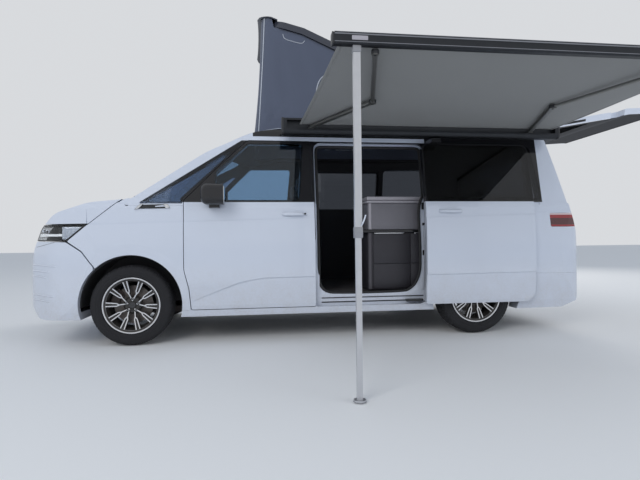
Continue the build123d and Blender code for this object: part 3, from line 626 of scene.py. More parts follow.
def tube(places, radius, closed=False, smooth=True, resolution=3):
    """A round cord or bar through some places."""
    data = bpy.data.curves.new("tube", "CURVE")
    data.dimensions = "3D"
    data.bevel_depth = radius
    data.bevel_resolution = resolution
    data.use_fill_caps = not closed
    spline = data.splines.new("NURBS" if smooth else "POLY")
    spline.points.add(len(places) - 1)
    for point, place in zip(spline.points, places):
        point.co = (*place, 1)
    spline.use_cyclic_u = closed
    if smooth:
        spline.use_endpoint_u = not closed
        spline.order_u = 3
    piece = bpy.data.objects.new("tube", data)
    bpy.context.collection.objects.link(piece)
    return piece


def steps(first, last, count):
    """Evenly spaced numbers from the first to the last."""
    return [first + (last - first) * step / count for step in range(count + 1)]


cloth_weave, given, made = socket_group("cloth_weave", {"Warp": 0.0, "Weft": 0.0, "Pitch": 0.002}, ["Height"])
threads = []
for title in ("Warp", "Weft"):
    turn = times(math_node("DIVIDE", given[title], given["Pitch"]), math.pi)
    threads.append(math_node("ABSOLUTE", math_node("SINE", turn)))
wire(made, Height=times(*threads))


def woven(name, colour, pitch, flat=False, roughness=0.86):
    """Plain-woven cloth with a slight heather. Flat cloth lies level, other cloth hangs."""
    material, shader, place = new_finish(name, colour, roughness)
    split = pattern("SeparateXYZ", place)
    warp = split.outputs["X"] if flat else plus(split.outputs["X"], split.outputs["Y"])
    weft = split.outputs["Y"] if flat else split.outputs["Z"]
    height = apply_group(cloth_weave, Warp=warp, Weft=weft, Pitch=pitch)["Height"]
    tone = blend_colour(noise(place, 420.0, 2.0), toned(colour, 0.80), toned(colour, 1.18))
    tone = blend_colour(noise(place, 2.2, 4.0), tone, toned(colour, 0.9))
    wire(shader, Base_Color=tone, Sheen_Weight=0.2, Roughness=blend_value(height, roughness, roughness - 0.12))
    relief(shader, height, 0.3, 0.0006)
    return material


def about(pivot, angle):
    """A turn about the line that runs across the van through a place."""
    pivot = Vector(pivot)
    return Matrix.Translation(pivot) @ Matrix.Rotation(angle, 4, "Y") @ Matrix.Translation(-pivot)


def grown(piece, thickness, offset=0.0):
    """Gives a sheet its thickness."""
    modifier = piece.modifiers.new("thickness", "SOLIDIFY")
    modifier.thickness, modifier.offset = thickness, offset
    return piece


canvas_finish = woven("slate_canvas", (0.098, 0.115, 0.165), 0.0022)
piping_finish = moulded("pale_piping", (0.46, 0.49, 0.54), 0.45, grain=0.05)
roof_open = math.radians(joints["roof_hinge"]["range_deg"][1])
raise_roof = about(joints["roof_hinge"]["pos_m"], -roof_open)
shell, cab_roof = nodes["pop_up_roof"], nodes["body_shell"]
down, upwards, rearwards = Vector((0, 0, -1)), Vector((0, 0, 1)), Vector((-1, 0, 0))
above_roof_z = 2.3
cab_roof_x = -1.02
lip_rear_x, lip_reach, lip_half = -1.085, 0.19, 0.652
lip_corner_x, lip_corner = -1.035, 0.14


def lip_place(along, across):
    """A place on the wind lip while the roof is shut. It lies just over the cab roof and rounds off at its corners."""
    x = lip_rear_x + lip_reach * along
    half = lip_half
    if x > lip_corner_x:
        half -= lip_corner - math.sqrt(max(0.0, lip_corner ** 2 - (x - lip_corner_x) ** 2))
    y = across * half
    hit, place, normal, index = cab_roof.ray_cast(at(max(x, cab_roof_x), y, above_roof_z), down)
    return at(x, y, place.z + 0.010 + max(0.0, cab_roof_x - x) * 0.05)


lip = cloth_grid([[raise_roof @ lip_place(along, across) for across in steps(-1, 1, 40)] for along in steps(0, 1, 9)])
grown(lip, 0.011, -1)
edge = lip.modifiers.new("edge", "BEVEL")
edge.width, edge.segments, edge.limit_method = 0.004, 2, "ANGLE"
lip = settle(lip, "roof_wind_lip", roof_shell, "pop_up_roof")

tent_front, tent_rear, tent_half = -1.056, -3.738, 0.634
tent_corner, tent_rear_corner = 0.12, 0.045
tent_lean = 0.085
tent_foot = 1.866
shell_rear_x, shell_long = -3.784, 2.749
shell_front = shell_rear_x + shell_long * math.cos(roof_open)


def tent_plan():
    """Places round the foot of the tent in plan."""
    corners = [(tent_front, 1, tent_corner, 90), (tent_front, -1, tent_corner, 0),
               (tent_rear, -1, tent_rear_corner, -90), (tent_rear, 1, tent_rear_corner, 180)]
    outline = []
    for x, side_sign, radius, first in corners:
        inward = -1 if x == tent_front else 1
        centre = Vector((x + inward * radius, side_sign * (tent_half - radius)))
        for step in range(9):
            angle = math.radians(first - 90 * step / 8)
            outline.append(centre + radius * Vector((math.cos(angle), math.sin(angle))))
    loop = []
    for place, after in zip(outline, outline[1:] + outline[:1]):
        parts = max(1, round((after - place).length / 0.03))
        loop += [place.lerp(after, part / parts) for part in range(parts)]
    return loop


def roof_lining_z(x, y):
    """How high the tent reaches at a place: to the underside of the shell, or of its lip in front of that."""
    over_lip = x > shell_front + 0.012
    look_x = min(x, -1.12) if over_lip else min(x, shell_front - 0.02)
    hit, place, normal, index = (lip if over_lip else shell).ray_cast(at(look_x, y * 0.99, 1.9), upwards)
    return place.z - 0.004


def tent_place(foot, part):
    """A place on the tent: part is 0 at its foot and 1 at the shell. Its front leans back and its sides pull in."""
    lean = tent_lean * max(0.0, 1 + (foot.x - tent_front) / 0.25)
    top = roof_lining_z(foot.x - lean, foot.y)
    height = top - tent_foot
    x = foot.x - lean * part
    bulge = math.sin(math.pi * part)
    reach = min(1.0, height)
    ripple = 0.007 * math.sin(11.0 * foot.x + 3.0 * part) + 0.004 * math.sin(31.0 * foot.x - 6.0 * part)
    near_corner = max(0.0, 1 - abs(foot.x + 1.24) / 0.24) * max(0.0, 1 - abs(part - 0.2) / 0.2)
    fold = 0.013 * near_corner * math.sin(60.0 * (foot.x + 0.75 * part * height))
    inward = reach * (0.022 * bulge - ripple * bulge) - fold
    side_share = max(0.0, min(1.0, (abs(foot.y) - tent_half + 0.1) / 0.1))
    end_share = 1.0 - side_share if foot.x > tent_front - 0.125 or foot.x < tent_rear + 0.05 else 0.0
    crease = 0.004 * math.sin(26.0 * foot.y + 5.0 * part) * bulge
    outward_x = 1.0 if foot.x > -2 else -1.0
    return at(x - outward_x * end_share * (0.018 * bulge * reach + crease),
              foot.y - math.copysign(side_share * inward, foot.y), tent_foot + part * height)


tent_rows = 30
foot_loop = tent_plan()
tent = cloth_grid([[tent_place(foot, part) for foot in foot_loop] for part in steps(0, 1, tent_rows)], closed=True)
tent = settle(grown(tent, 0.0016), "roof_tent", canvas_finish, "body")
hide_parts("roof_canvas")


def on_tent(x, z, side_sign):
    """A place on the outside of the tent's side wall."""
    hit, place, normal, index = tent.ray_cast(at(x, side_sign * 0.9, z), Vector((0, -side_sign, 0)))
    return (place if hit else at(x, side_sign * tent_half, z)) + Vector((0, 0.002 * side_sign, 0))


vent_flap = [(-1.345, 2.865), (-1.347, 2.835), (-1.375, 2.815), (-1.44, 2.80), (-1.51, 2.785), (-1.54, 2.79),
             (-1.552, 2.812)]
arched_window = [(-1.68, 2.02), (-1.655, 2.14), (-1.655, 2.33), (-1.70, 2.47), (-1.84, 2.535), (-2.02, 2.50),
                 (-2.28, 2.38), (-2.38, 2.30), (-2.42, 2.18), (-2.42, 2.06), (-2.36, 2.0), (-1.80, 2.0)]
welts = []
for side_sign in (1, -1):
    corner = Vector((tent_front - tent_corner, side_sign * (tent_half - tent_corner)))
    corner += 0.1235 * Vector((math.sin(math.radians(38)), side_sign * math.cos(math.radians(38))))
    welts.append(tube([tent_place(corner, part) for part in steps(0, 1, 8)], 0.0045))
    welts.append(tube([on_tent(x, z, side_sign) for x, z in vent_flap], 0.003))
    welts.append(tube([on_tent(x, z, side_sign) for x, z in arched_window], 0.0045, closed=True))
welt = settle(welts, "tent_piping", piping_finish, "body")
for piece in (tent, welt):
    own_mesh(piece)

# Awning fabric
# One length of coated cloth, 2.40 m wide and 1.60 m out, drawn from the roller in the case to the front rail.
# Its side edges are turned in and welded, and it hangs a little slack between the arms.
awning_finish = woven("grey_awning_cloth", (0.235, 0.240, 0.238), 0.0018, flat=True)
awning_back = [at(-1.46, 1.012, 1.919), at(-3.86, 1.012, 1.919)]
awning_front = [at(-1.54, 2.608, 1.993), at(-3.94, 2.608, 1.993)]
awning_sag, awning_thick, hem_width = 0.022, 0.0012, 0.024
columns, rows = 60, 40
awning_rows = []
for out in steps(0, 1, rows):
    line = []
    for across in steps(0, 1, columns):
        place = awning_back[0].lerp(awning_back[1], across).lerp(awning_front[0].lerp(awning_front[1], across), out)
        slack = math.sin(math.pi * out) * (0.35 + 0.65 * math.sin(math.pi * across) ** 0.5)
        wave = 0.002 * math.sin(2 * math.pi * (2.5 * across + 0.6 * out)) * math.sin(math.pi * out)
        line.append(place - Vector((0, 0, awning_sag * slack + wave + 0.001)))
    awning_rows.append(line)
awning = settle(grown(cloth_grid(awning_rows), awning_thick), "awning_cloth", awning_finish, "body")
hems = []
for column, width in ((0, -hem_width), (columns, hem_width)):
    strip = cloth_grid([[row[column] + Vector((offset, 0, -0.0022)) for row in awning_rows] for offset in (0.0, width)])
    hems.append(grown(strip, awning_thick))
hem = settle(hems, "awning_hems", awning_finish, "body")
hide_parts("awning_fabric")

# Door handles
# Painted grab bars over shallow cups pressed into the skins, with a key cylinder at the end of the front ones.
def skin_place(panels, x, z, side_sign=1, out=0.0):
    """The place where the outermost of some panels is met from the side, moved outwards a little."""
    found = []
    for panel in panels.split():
        hit, place, normal, index = nodes[panel].ray_cast(at(x, side_sign * 1.6, z), Vector((0, -side_sign, 0)))
        if hit:
            found.append(place)
    outermost = max(found, key=lambda place: side_sign * place.y)
    return outermost + Vector((0, side_sign * out, 0))


def rounded_block(low, high, rounding=0.003, corner=0.0, corner_axis="Z"):
    """A block between two corners of the van, with eased edges, and with four rounder ones along an axis."""
    begin()
    low, high = at(*low), at(*high)
    bpy.ops.mesh.primitive_cube_add(size=1, location=(low + high) / 2)
    piece = bpy.context.object
    piece.scale = [abs(end - start) for start, end in zip(low, high)]
    bpy.ops.object.transform_apply(location=True, rotation=True, scale=True)
    if corner:
        side = "XYZ".index(corner_axis)
        bpy.ops.object.mode_set(mode="EDIT")
        bpy.ops.mesh.select_all(action="DESELECT")
        mesh = bmesh.from_edit_mesh(piece.data)
        for edge in mesh.edges:
            run = edge.verts[1].co - edge.verts[0].co
            edge.select = abs(run[side]) > 0.98 * run.length
        bmesh.update_edit_mesh(piece.data)
        bpy.ops.mesh.bevel(offset=corner, segments=8, affect="EDGES")
        bpy.ops.object.mode_set(mode="OBJECT")
    eased = piece.modifiers.new("eased", "BEVEL")
    eased.width, eased.segments, eased.limit_method = rounding, 2, "ANGLE"
    eased.angle_limit = math.radians(40)
    piece = plain_mesh(piece)
    bpy.ops.object.shade_smooth_by_angle(angle=math.radians(35))
    return piece


def round_bar(place, radius, depth, sides=32, across=True):
    """A short bar about a place. It lies across the van, or stands up in it."""
    begin()
    bpy.ops.mesh.primitive_cylinder_add(vertices=sides, radius=radius, depth=depth, location=place,
                                        rotation=(math.pi / 2 if across else 0, 0, 0))
    return bpy.context.object


def ball(place, radius, scale, segments, rings):
    """A ball about a place, drawn out or flattened by its scale."""
    begin()
    bpy.ops.mesh.primitive_uv_sphere_add(segments=segments, ring_count=rings, radius=radius, location=place)
    bpy.context.object.scale = scale
    return bpy.context.object


handle_paint = painted("handle_paint")
handle_rows = [("front_door_left", 1, -1.303, 1.128), ("front_door_right", -1, -1.303, 1.128),
               ("sliding_door_left", 1, -2.735, 1.146), ("sliding_door_right", -1, -1.732, 1.146)]
handle_long = 0.215
handle_outs = [(0.0, -0.004), (0.03, 0.012), (0.25, 0.026), (0.55, 0.029), (0.85, 0.020), (1.0, -0.004)]
for door, side_sign, front_x, z in handle_rows:
    body = "body" if door.startswith("sliding") else door
    grip = tube([skin_place(door, front_x - part * handle_long, z, side_sign, out) for part, out in handle_outs],
                0.0075)
    grip.data.extrude = 0.008
    settle(grip, f"{door}_grip", handle_paint, body)
    middle = skin_place(door, front_x - 0.5 * handle_long, z + 0.006, side_sign)
    settle(ball(middle, 1, (0.076, 0.0035, 0.030), 40, 16), f"{door}_cup", handle_paint, body)
    if door.startswith("front"):
        lock_place = skin_place(door, front_x - 0.203, z + 0.001, side_sign, 0.024)
        settle(round_bar(lock_place, 0.0085, 0.012, 24), f"{door}_lock", gloss_trim, body)

# Side doorway
# A rubber seal runs round the step-in opening, white gussets round off its foot, and two rails run along the sill.
# The catches and the lower roller arm of the slid door show at its rear edge.
rubber_seal = moulded("rubber_seal", (0.012, 0.012, 0.013), 0.55, grain=0.05)
front_gusset = [(-1.636, 0.560), (-1.642, 0.500), (-1.666, 0.452), (-1.706, 0.424), (-1.764, 0.408)]
rear_gusset = [(-2.440, 0.408), (-2.489, 0.430), (-2.529, 0.461), (-2.561, 0.505), (-2.584, 0.563), (-2.597, 0.640),
               (-2.595, 0.893), (-2.584, 1.075), (-2.588, 1.200), (-2.606, 1.260), (-2.624, 1.300)]
seal_top = [(-2.632, 1.40), (-2.632, 1.50), (-2.632, 1.70), (-2.628, 1.750), (-2.600, 1.765), (-2.50, 1.765),
            (-2.13, 1.765), (-1.76, 1.765), (-1.665, 1.765), (-1.634, 1.750), (-1.630, 1.70), (-1.630, 1.40),
            (-1.632, 1.10), (-1.634, 0.80), (-1.635, 0.66)]
gusset_out, gusset_thick = 0.878, 0.010
seal_places = [at(x, gusset_out + 0.006, z) for x, z in front_gusset + rear_gusset]
seal_places += [skin_place("body_shell", x, z, 1, 0.004) for x, z in seal_top]
settle(tube(seal_places, 0.0130, closed=True), "doorway_seal", rubber_seal, "body")
gussets = []
for inner, edge_x in ((front_gusset + [(-1.780, 0.394)], -1.606), ([(-2.420, 0.394)] + rear_gusset, -2.642)):
    rows = [[at(edge_x + (x - edge_x) * part, gusset_out, z) for x, z in inner] for part in steps(0, 1, 4)]
    gussets.append(grown(cloth_grid(rows), gusset_thick))
settle(gussets, "doorway_gussets", handle_paint, "body")

sill_rails = []
for z, thick, out in ((0.364, 0.004, 0.006), (0.324, 0.005, 0.004)):
    start, end = skin_place("body_shell", -1.66, z, 1, out), skin_place("body_shell", -2.62, z, 1, out)
    sill_rails.append(tube([start, start.lerp(end, 0.5), end], thick, smooth=False))
settle(sill_rails, "sill_rails", rubber_seal, "body")
catch_rows = [((-2.632, 0.872, 1.17), (-2.612, 0.895, 1.235)), ((-2.640, 0.872, 1.02), (-2.618, 0.895, 1.045)),
              ((-2.640, 0.872, 0.74), (-2.620, 0.893, 0.79)), ((-2.600, 0.90, 0.318), (-2.44, 0.948, 0.340)),
              ((-1.640, 0.872, 0.62), (-1.628, 0.895, 0.66)), ((-1.640, 0.872, 1.02), (-1.628, 0.895, 1.06))]
settle([rounded_block(low, high, 0.004) for low, high in catch_rows], "doorway_catches", gloss_trim, "body")

# Quarter glass strip
# A slim gloss panel under the small front pane, let into the waistline, with bright ends.
bright_trim = anodised("bright_trim", (0.80, 0.81, 0.83), 0.18)
strip_rows = [("face", [(-0.052, 1.178), (-0.090, 1.212), (-0.312, 1.216), (-0.330, 1.183)], 0.004, gloss_trim),
              ("tip", [(-0.040, 1.172), (-0.086, 1.218), (-0.112, 1.218), (-0.066, 1.172)], 0.006, bright_trim),
              ("tail", [(-0.300, 1.180), (-0.278, 1.219), (-0.316, 1.220), (-0.336, 1.181)], 0.006, bright_trim)]
strip_panels = "front_fenders body_shell fixed_side_glass"
sides = ((1, "left"), (-1, "right"))
for side_sign, side_name in sides:
    for name, corners, out, finish in strip_rows:
        low_front, high_front, high_rear, low_rear = (Vector(corner) for corner in corners)
        places = []
        for part in steps(0, 1, 2):
            low, high = low_front.lerp(low_rear, part), high_front.lerp(high_rear, part)
            places.append([skin_place(strip_panels, *low.lerp(high, step / 3), side_sign, out) for step in range(4)])
        settle(grown(cloth_grid(places), 0.006), f"quarter_strip_{name}_{side_name}", finish, "body")

# Roof side strips
# A slim moulding in body colour is clipped over the weld between each side and the roof, from the screen pillar to
# the rear pillar.
roof_strips = []
for side_sign in (1, -1):
    places = []
    for x in steps(-0.80, -3.76, 24):
        hit, place, normal, index = cab_roof.ray_cast(at(x, side_sign * 0.735, above_roof_z), down)
        if hit:
            places.append(place + Vector((0, 0, 0.002)))
    roof_strips.append(tube(places, 0.006))
settle(roof_strips, "roof_side_strips", handle_paint, "body")

# Door mirrors
# Gloss black cases clipped to the doors, each with a silvered glass at the back and a clear repeater lamp let into
# its front edge.
mirror_silver, shader, place = new_finish("mirror_silver", (0.82, 0.84, 0.86), 0.03, metallic=1.0)
wire(shader, Roughness=blend_value(noise(place, 30.0), 0.02, 0.05))
repeater_line = [(-0.700, 1.1615), (-0.650, 1.150), (-0.615, 1.105), (-0.611, 1.05), (-0.625, 1.0)]
for side_sign, side_name in sides:
    door = f"front_door_{side_name}"
    glass = rounded_block((-0.806, side_sign * 1.137, 1.222), (-0.799, side_sign * 0.987, 1.362), 0.002, 0.035, "X")
    settle(glass, f"mirror_glass_{side_name}", mirror_silver, door)
    repeater = tube([at(x, side_sign * y, 1.262) for x, y in repeater_line], 0.0045)
    settle(repeater, f"mirror_repeater_{side_name}", lens_clear, door)

# Tyres
# Radial tyres, 235 wide, with four grooves round the tread, cut shoulder blocks, and plain ribs on their sidewalls.
# Each row of the half section is how far out from the tyre's middle, its radius, and how deep the cuts go there.
tread_rows = [(98.0, 229.0, 0), (98.0, 243.2, 0), (104.0, 247.5, 0), (111.5, 253.0, 0), (113.5, 262.0, 0),
              (114.2, 264.0, 0), (114.9, 272.0, 0), (116.0, 273.2, 0), (116.2, 277.0, 0), (115.5, 278.2, 0),
              (116.6, 292.0, 0), (117.2, 293.5, 0), (117.2, 296.0, 0), (116.6, 297.5, 0), (115.6, 309.0, 0),
              (113.8, 318.0, 1.5), (111.0, 325.0, 3), (105.5, 332.0, 4), (97.0, 338.6, 5), (84.0, 343.2, 5.5),
              (71.5, 344.6, 5.5), (70.0, 338.2, 0), (62.5, 338.2, 0), (61.0, 345.0, 3), (44.0, 345.6, 3),
              (27.5, 345.8, 2), (26.0, 339.0, 0), (18.0, 339.0, 0), (16.5, 346.0, 0), (0.0, 346.0, 0)]
tyre_rows = tread_rows + [(-out, radius, cut) for out, radius, cut in reversed(tread_rows[:-1])]
pitch_count, millimetre = 66, 0.001
pitch_steps = ((0.0, 1.0), (0.07, 0.0), (0.5, 0.0), (0.93, 0.0))
wheel_rows = [("front", "left", 1, 0.0), ("front", "right", -1, 0.0),
              ("rear", "left", 1, rear_axle_x), ("rear", "right", -1, rear_axle_x)]
for axle, side_name, side_sign, wheel_x in wheel_rows:
    section_rows = []
    for pitch in range(pitch_count):
        for share, cut_share in pitch_steps:
            angle = 2 * math.pi * (pitch + share) / pitch_count
            section = []
            for out, radius, cut in tyre_rows:
                reach = radius - cut * cut_share
                section.append(at(wheel_x + reach * millimetre * math.cos(angle),
                                  side_sign * (wheel_middle_y + out * millimetre),
                                  wheel_z + reach * millimetre * math.sin(angle)))
            section_rows.append(section)
    tyre = cloth_grid(section_rows + section_rows[:1], closed=True)
    begin(tyre)
    bpy.ops.object.mode_set(mode="EDIT")
    bpy.ops.mesh.select_all(action="SELECT")
    bpy.ops.mesh.remove_doubles(threshold=0.00002)
    bpy.ops.mesh.normals_make_consistent(inside=False)
    bpy.ops.object.mode_set(mode="OBJECT")
    bpy.ops.object.shade_smooth_by_angle(angle=math.radians(38))
    tyre = settle(tyre, f"{axle}_tyre_tread_{side_name}", rubber, f"{axle}_wheel_{side_name}")
    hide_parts(f"{axle}_tyre_{side_name}")

# Wheel bolts, caps and valves
# Five hexagon bolts in each hub, a plain pressed cap over the bore, and a rubber valve near the rim.
cap_finish = moulded("cap_black", (0.016, 0.016, 0.018), 0.25, grain=0.03, coat=0.5)
bolt_finish = anodised("bolt_steel", (0.30, 0.30, 0.31), 0.35)
fork_turn = 284.5


def on_wheel(wheel_x, side_sign, radius, degrees, out):
    """A place on a wheel, from its radius, its angle and how far out it is."""
    angle = math.radians(degrees)
    return at(wheel_x + radius * math.cos(angle), side_sign * (wheel_middle_y + out),
              wheel_z - side_sign * radius * math.sin(angle))


for axle, side_name, side_sign, wheel_x in wheel_rows:
    body = f"{axle}_wheel_{side_name}"
    bolts = []
    for index in range(5):
        place = on_wheel(wheel_x, side_sign, 0.056, fork_turn + 54 + 72 * index, 0.0575)
        bolts.append(round_bar(place, 0.0098, 0.017, 6))
        eased = bolts[-1].modifiers.new("eased", "BEVEL")
        eased.width, eased.segments = 0.0014, 2
    settle(bolts, f"{axle}_bolts_{side_name}", bolt_finish, body)
    cap = round_bar(on_wheel(wheel_x, side_sign, 0, 0, 0.0725), 0.0285, 0.004, 48)
    bpy.ops.object.mode_set(mode="EDIT")
    mesh = bmesh.from_edit_mesh(cap.data)
    for face in mesh.faces:
        face.select = face.normal.z * side_sign < -0.9
    mesh.select_flush_mode()
    bmesh.update_edit_mesh(cap.data)
    for thickness, depth in ((0.0035, 0.0012), (0.003, -0.0012), (0.006, 0.0006)):
        bpy.ops.mesh.inset(thickness=thickness, depth=depth)
    bpy.ops.object.mode_set(mode="OBJECT")
    bpy.ops.object.shade_smooth_by_angle(angle=math.radians(30))
    settle(cap, f"{axle}_cap_{side_name}", cap_finish, body)
    stem = tube([on_wheel(wheel_x, side_sign, radius, fork_turn + 90, out)
                 for radius, out in ((0.196, 0.062), (0.193, 0.080), (0.190, 0.096))], 0.0042)
    settle(stem, f"{axle}_valve_{side_name}", rubber, body)

# Kitchen unit
# Foamed board faced in dark laminate: cupboards below, a worktop with a rounded end, and a box with a folding lid.
# The gaps between the fronts are real, and pressed aluminium grips are let into them.
kitchen_dark = moulded("kitchen_dark", (0.026, 0.025, 0.031), 0.5, grain=0.05)
kitchen_grey = moulded("kitchen_grey", (0.135, 0.132, 0.150), 0.42, grain=0.05)
# The pale rim colour is the lids' own and also makes the upper corner post's painted highlight; the edge colour beside
# it is only a painted highlight for the lower post.
kitchen_rim_and_highlight = moulded("kitchen_rim_and_highlight", (0.30, 0.29, 0.32), 0.35, grain=0.03)
kitchen_lower_highlight = moulded("kitchen_lower_highlight", (0.060, 0.057, 0.066), 0.42, grain=0.05)
lower = [rounded_block((-3.255, 0.325, 0.418), (-2.120, 0.776, 0.955), 0.003, 0.04)]
for front_x, end_x in ((-2.172, -2.530), (-2.536, -2.900), (-2.906, -3.240)):
    for low_z, high_z in ((0.430, 0.660), (0.666, 0.945)):
        lower.append(rounded_block((end_x, 0.774, low_z), (front_x, 0.788, high_z), 0.003))
kitchen = settle(lower, "kitchen_cupboards", kitchen_dark, "body")
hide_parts("kitchen_unit")
worktop = rounded_block((-3.258, 0.318, 0.958), (-2.066, 0.800, 0.985), 0.006, 0.055)
settle(worktop, "kitchen_worktop", gloss_trim, "body")
upper = rounded_block((-3.255, 0.325, 0.987), (-2.120, 0.786, 1.236), 0.004, 0.04)
settle(upper, "kitchen_upper_box", kitchen_grey, "body")
lids = [rounded_block((-3.257, 0.322, 1.240), (-2.112, 0.789, 1.262), 0.004, 0.05),
        rounded_block((-3.257, 0.324, 1.266), (-2.114, 0.787, 1.300), 0.006, 0.05)]
settle(lids, "kitchen_lid", kitchen_rim_and_highlight, "body")
# Two round posts at the near front corner, paler than the fronts beside them: a painted highlight on the rounded
# corner.
for name, finish, low_z, high_z in (("upper", kitchen_rim_and_highlight, 0.989, 1.236), ("lower", kitchen_lower_highlight, 0.424, 0.955)):
    post = tube([at(-2.142, 0.768, z) for z in (low_z, (low_z + high_z) / 2, high_z)], 0.0215, smooth=False,
                resolution=6)
    settle(post, f"kitchen_highlight_{name}", finish, "body")
grips = [rounded_block((end_x, 0.786, 0.948), (front_x, 0.799, 0.9565), 0.002)
         for end_x, front_x in ((-2.48, -2.18), (-2.86, -2.57))]
settle(grips, "kitchen_grips", bright_trim, "body")

# Headlamp inserts
# Behind each clear cover a white light bar runs along the middle, over a silvered reflector at the outer end.
def nose_place(panels, degrees, z, side_sign=1, out=0.0):
    """A place on the rounded nose, found by looking in towards its corner, moved along the skin's normal."""
    centre = at(0.25, side_sign * 0.45, z)
    ray = Vector((math.cos(math.radians(degrees)), side_sign * math.sin(math.radians(degrees)), 0))
    found = []
    for panel in panels.split():
        hit, place, normal, index = nodes[panel].ray_cast(centre + 2 * ray, -ray)
        if hit:
            found.append((place, normal))
    if not found:
        return None
    place, normal = max(found, key=lambda pair: (pair[0] - centre).length)
    return place + normal * out


def nose_line(panels, spots, side_sign, out):
    """The places of a line over the nose, from its angles and heights."""
    places = [nose_place(panels, degrees, z, side_sign, out) for degrees, z in spots]
    return [place for place in places if place]


light_bar_finish, shader, place = new_finish("light_bar", (0.92, 0.94, 0.96), 0.18, coat=0.6)
glow = blend_colour(noise(place, 60.0), (0.95, 0.97, 1.0), (0.80, 0.84, 0.90))
wire(shader, Emission_Color=glow, Emission_Strength=0.25)
reflector_finish, shader, place = new_finish("reflector", (0.72, 0.77, 0.88), 0.16, metallic=0.45)
flutes = pattern("TexWave", place, Scale=26)
flutes.bands_direction = "X"
wire(shader, Base_Color=blend_colour(flutes.outputs["Fac"], (0.56, 0.62, 0.74), (0.84, 0.88, 0.96)))
relief(shader, flutes.outputs["Fac"], 0.3, 0.002)
for side_sign, side_name in sides:
    bar = tube(nose_line("headlamp_lenses", [(degrees, 0.957) for degrees in range(8, 60, 3)], side_sign, -0.016),
               0.004)
    bar.data.extrude = 0.007
    settle(bar, f"light_bar_{side_name}", light_bar_finish, "body")
    places = []
    for z, last in zip(steps(0.920, 1.028, 8), steps(61, 75, 8)):
        row = [nose_place("headlamp_lenses", degrees, z, side_sign, -0.009) for degrees in steps(58, last, 8)]
        places.append([place or row[index - 1] or row[index - 2] for index, place in enumerate(row)])
    settle(grown(cloth_grid(places), 0.002), f"lamp_reflector_{side_name}", reflector_finish, "body")
    frames = []
    for z, first, last in ((0.912, 8, 60), (1.036, 10, 76)):
        spots = [(degrees, z) for degrees in steps(first, last, 12)]
        frames.append(tube(nose_line("headlamp_lenses", spots, side_sign, -0.003), 0.0035))
    settle(frames, f"lamp_frame_{side_name}", gloss_trim, "body")
    lenses = []
    for degrees in (14, 24, 34):
        spot = nose_place("headlamp_lenses", degrees, 1.0, side_sign, -0.022)
        if spot:
            lenses.append(ball(spot, 0.017, (0.6, 0.9, 0.9), 24, 12))
    settle(lenses, f"lamp_projectors_{side_name}", reflector_finish, "body")

# Bumper details
# Moulded air-curtain fins at the corners, the seam of the painted upper part, and a blank plate on its carrier.
# Black bars are clipped across both grilles.
fins, seams = [], []
for side_sign in (1, -1):
    for z, first, last in ((0.705, 24, 52), (0.655, 24, 46), (0.610, 24, 42), (0.448, 24, 50), (0.405, 24, 46)):
        spots = [(first + (last - first) * part, z - 0.012 * part ** 2) for part in steps(0, 1, 6)]
        fin = nose_line("front_bumper", spots, side_sign, 0.001)
        fins.append(tube([nose_place("front_bumper", *spots[0], side_sign, -0.012)] + fin
                         + [nose_place("front_bumper", last + 2, spots[-1][1], side_sign, -0.012)], 0.007))
for side_sign in (1, -1):
    spots = [(degrees, 0.838 + 0.065 * ((degrees - 10) / 45) ** 1.6) for degrees in range(10, 58, 3)]
    seams.append(tube(nose_line("front_bumper", spots, side_sign, -0.0004), 0.0016))
settle(fins, "bumper_fins", handle_paint, "body")
settle(seams, "bumper_seam", rubber_seal, "body")
carrier = rounded_block((0.972, -0.272, 0.437), (0.979, 0.272, 0.563), 0.003)
settle(carrier, "front_plate_carrier", dark_moulding, "body")
plate_white = moulded("plate_white", (0.72, 0.72, 0.70), 0.3, grain=0.02)
plate = rounded_block((0.978, -0.260, 0.446), (0.982, 0.260, 0.554), 0.0015, 0.010, "X")
settle(plate, "front_plate", plate_white, "body")
bars = []
for grille in ("upper_grille", "lower_grille"):
    low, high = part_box(grille)
    for share in (0.25, 0.5, 0.75):
        z = low.z + share * (high.z - low.z)
        places = []
        for step in range(15):
            start = Vector((at(1.6, 0, 0).x, low.y + (high.y - low.y) * (0.04 + 0.92 * step / 14), z))
            hit, place, normal, index = nodes[grille].ray_cast(start, rearwards)
            if hit:
                places.append(place + Vector((0.001, 0, 0)))
        if len(places) > 3:
            bars.append(tube(places, 0.0035))
settle(bars, "grille_bars", gloss_trim, "body")

# Screen wipers
# Two parked arms with flat rubber blades, which lie on the foot of the windscreen. Each arm comes up from the cowl
# to the outer end of its blade.
wipers = []
for pivot_y, tip_y in ((0.62, -0.06), (-0.16, -0.78)):
    places = []
    for y, z in zip(steps(pivot_y, tip_y, 8), steps(1.30, 1.32, 8)):
        hit, place, normal, index = nodes["windscreen"].ray_cast(at(1.2, y, z), rearwards)
        if hit:
            places.append(place + normal * 0.010)
    if len(places) > 3:
        blade = tube(places, 0.0045)
        blade.data.extrude = 0.004
        arm = tube([places[0] + Vector((0.05, 0, -0.05)), places[0] + Vector((0.03, 0, 0.0)),
                    places[4] + Vector((0.012, 0, 0.01))], 0.006)
        wipers += [blade, arm]
settle(wipers, "screen_wipers", gloss_trim, "body")

# Tailgate fittings
# On the outside of the lid are a blank plate in its recess, a pull strip over it, a wiper on the glass and a red
# stop lamp along the top. Each is screwed or clipped on.
raise_lid = about(lid_hinge["pos_m"], -lid_turn)


def lid_place(y, z, out=0.0):
    """A place on the outside of the tailgate, given shut and returned where it is when it is open."""
    start, way = raise_lid @ at(-5.2, y, z), raise_lid.to_3x3() @ Vector((1, 0, 0))
    hit, place, normal, index = nodes["tailgate"].ray_cast(start, way)
    if not hit:
        hit, place, normal, index = nodes["tailgate_glass"].ray_cast(start, way)
    return place - way * out


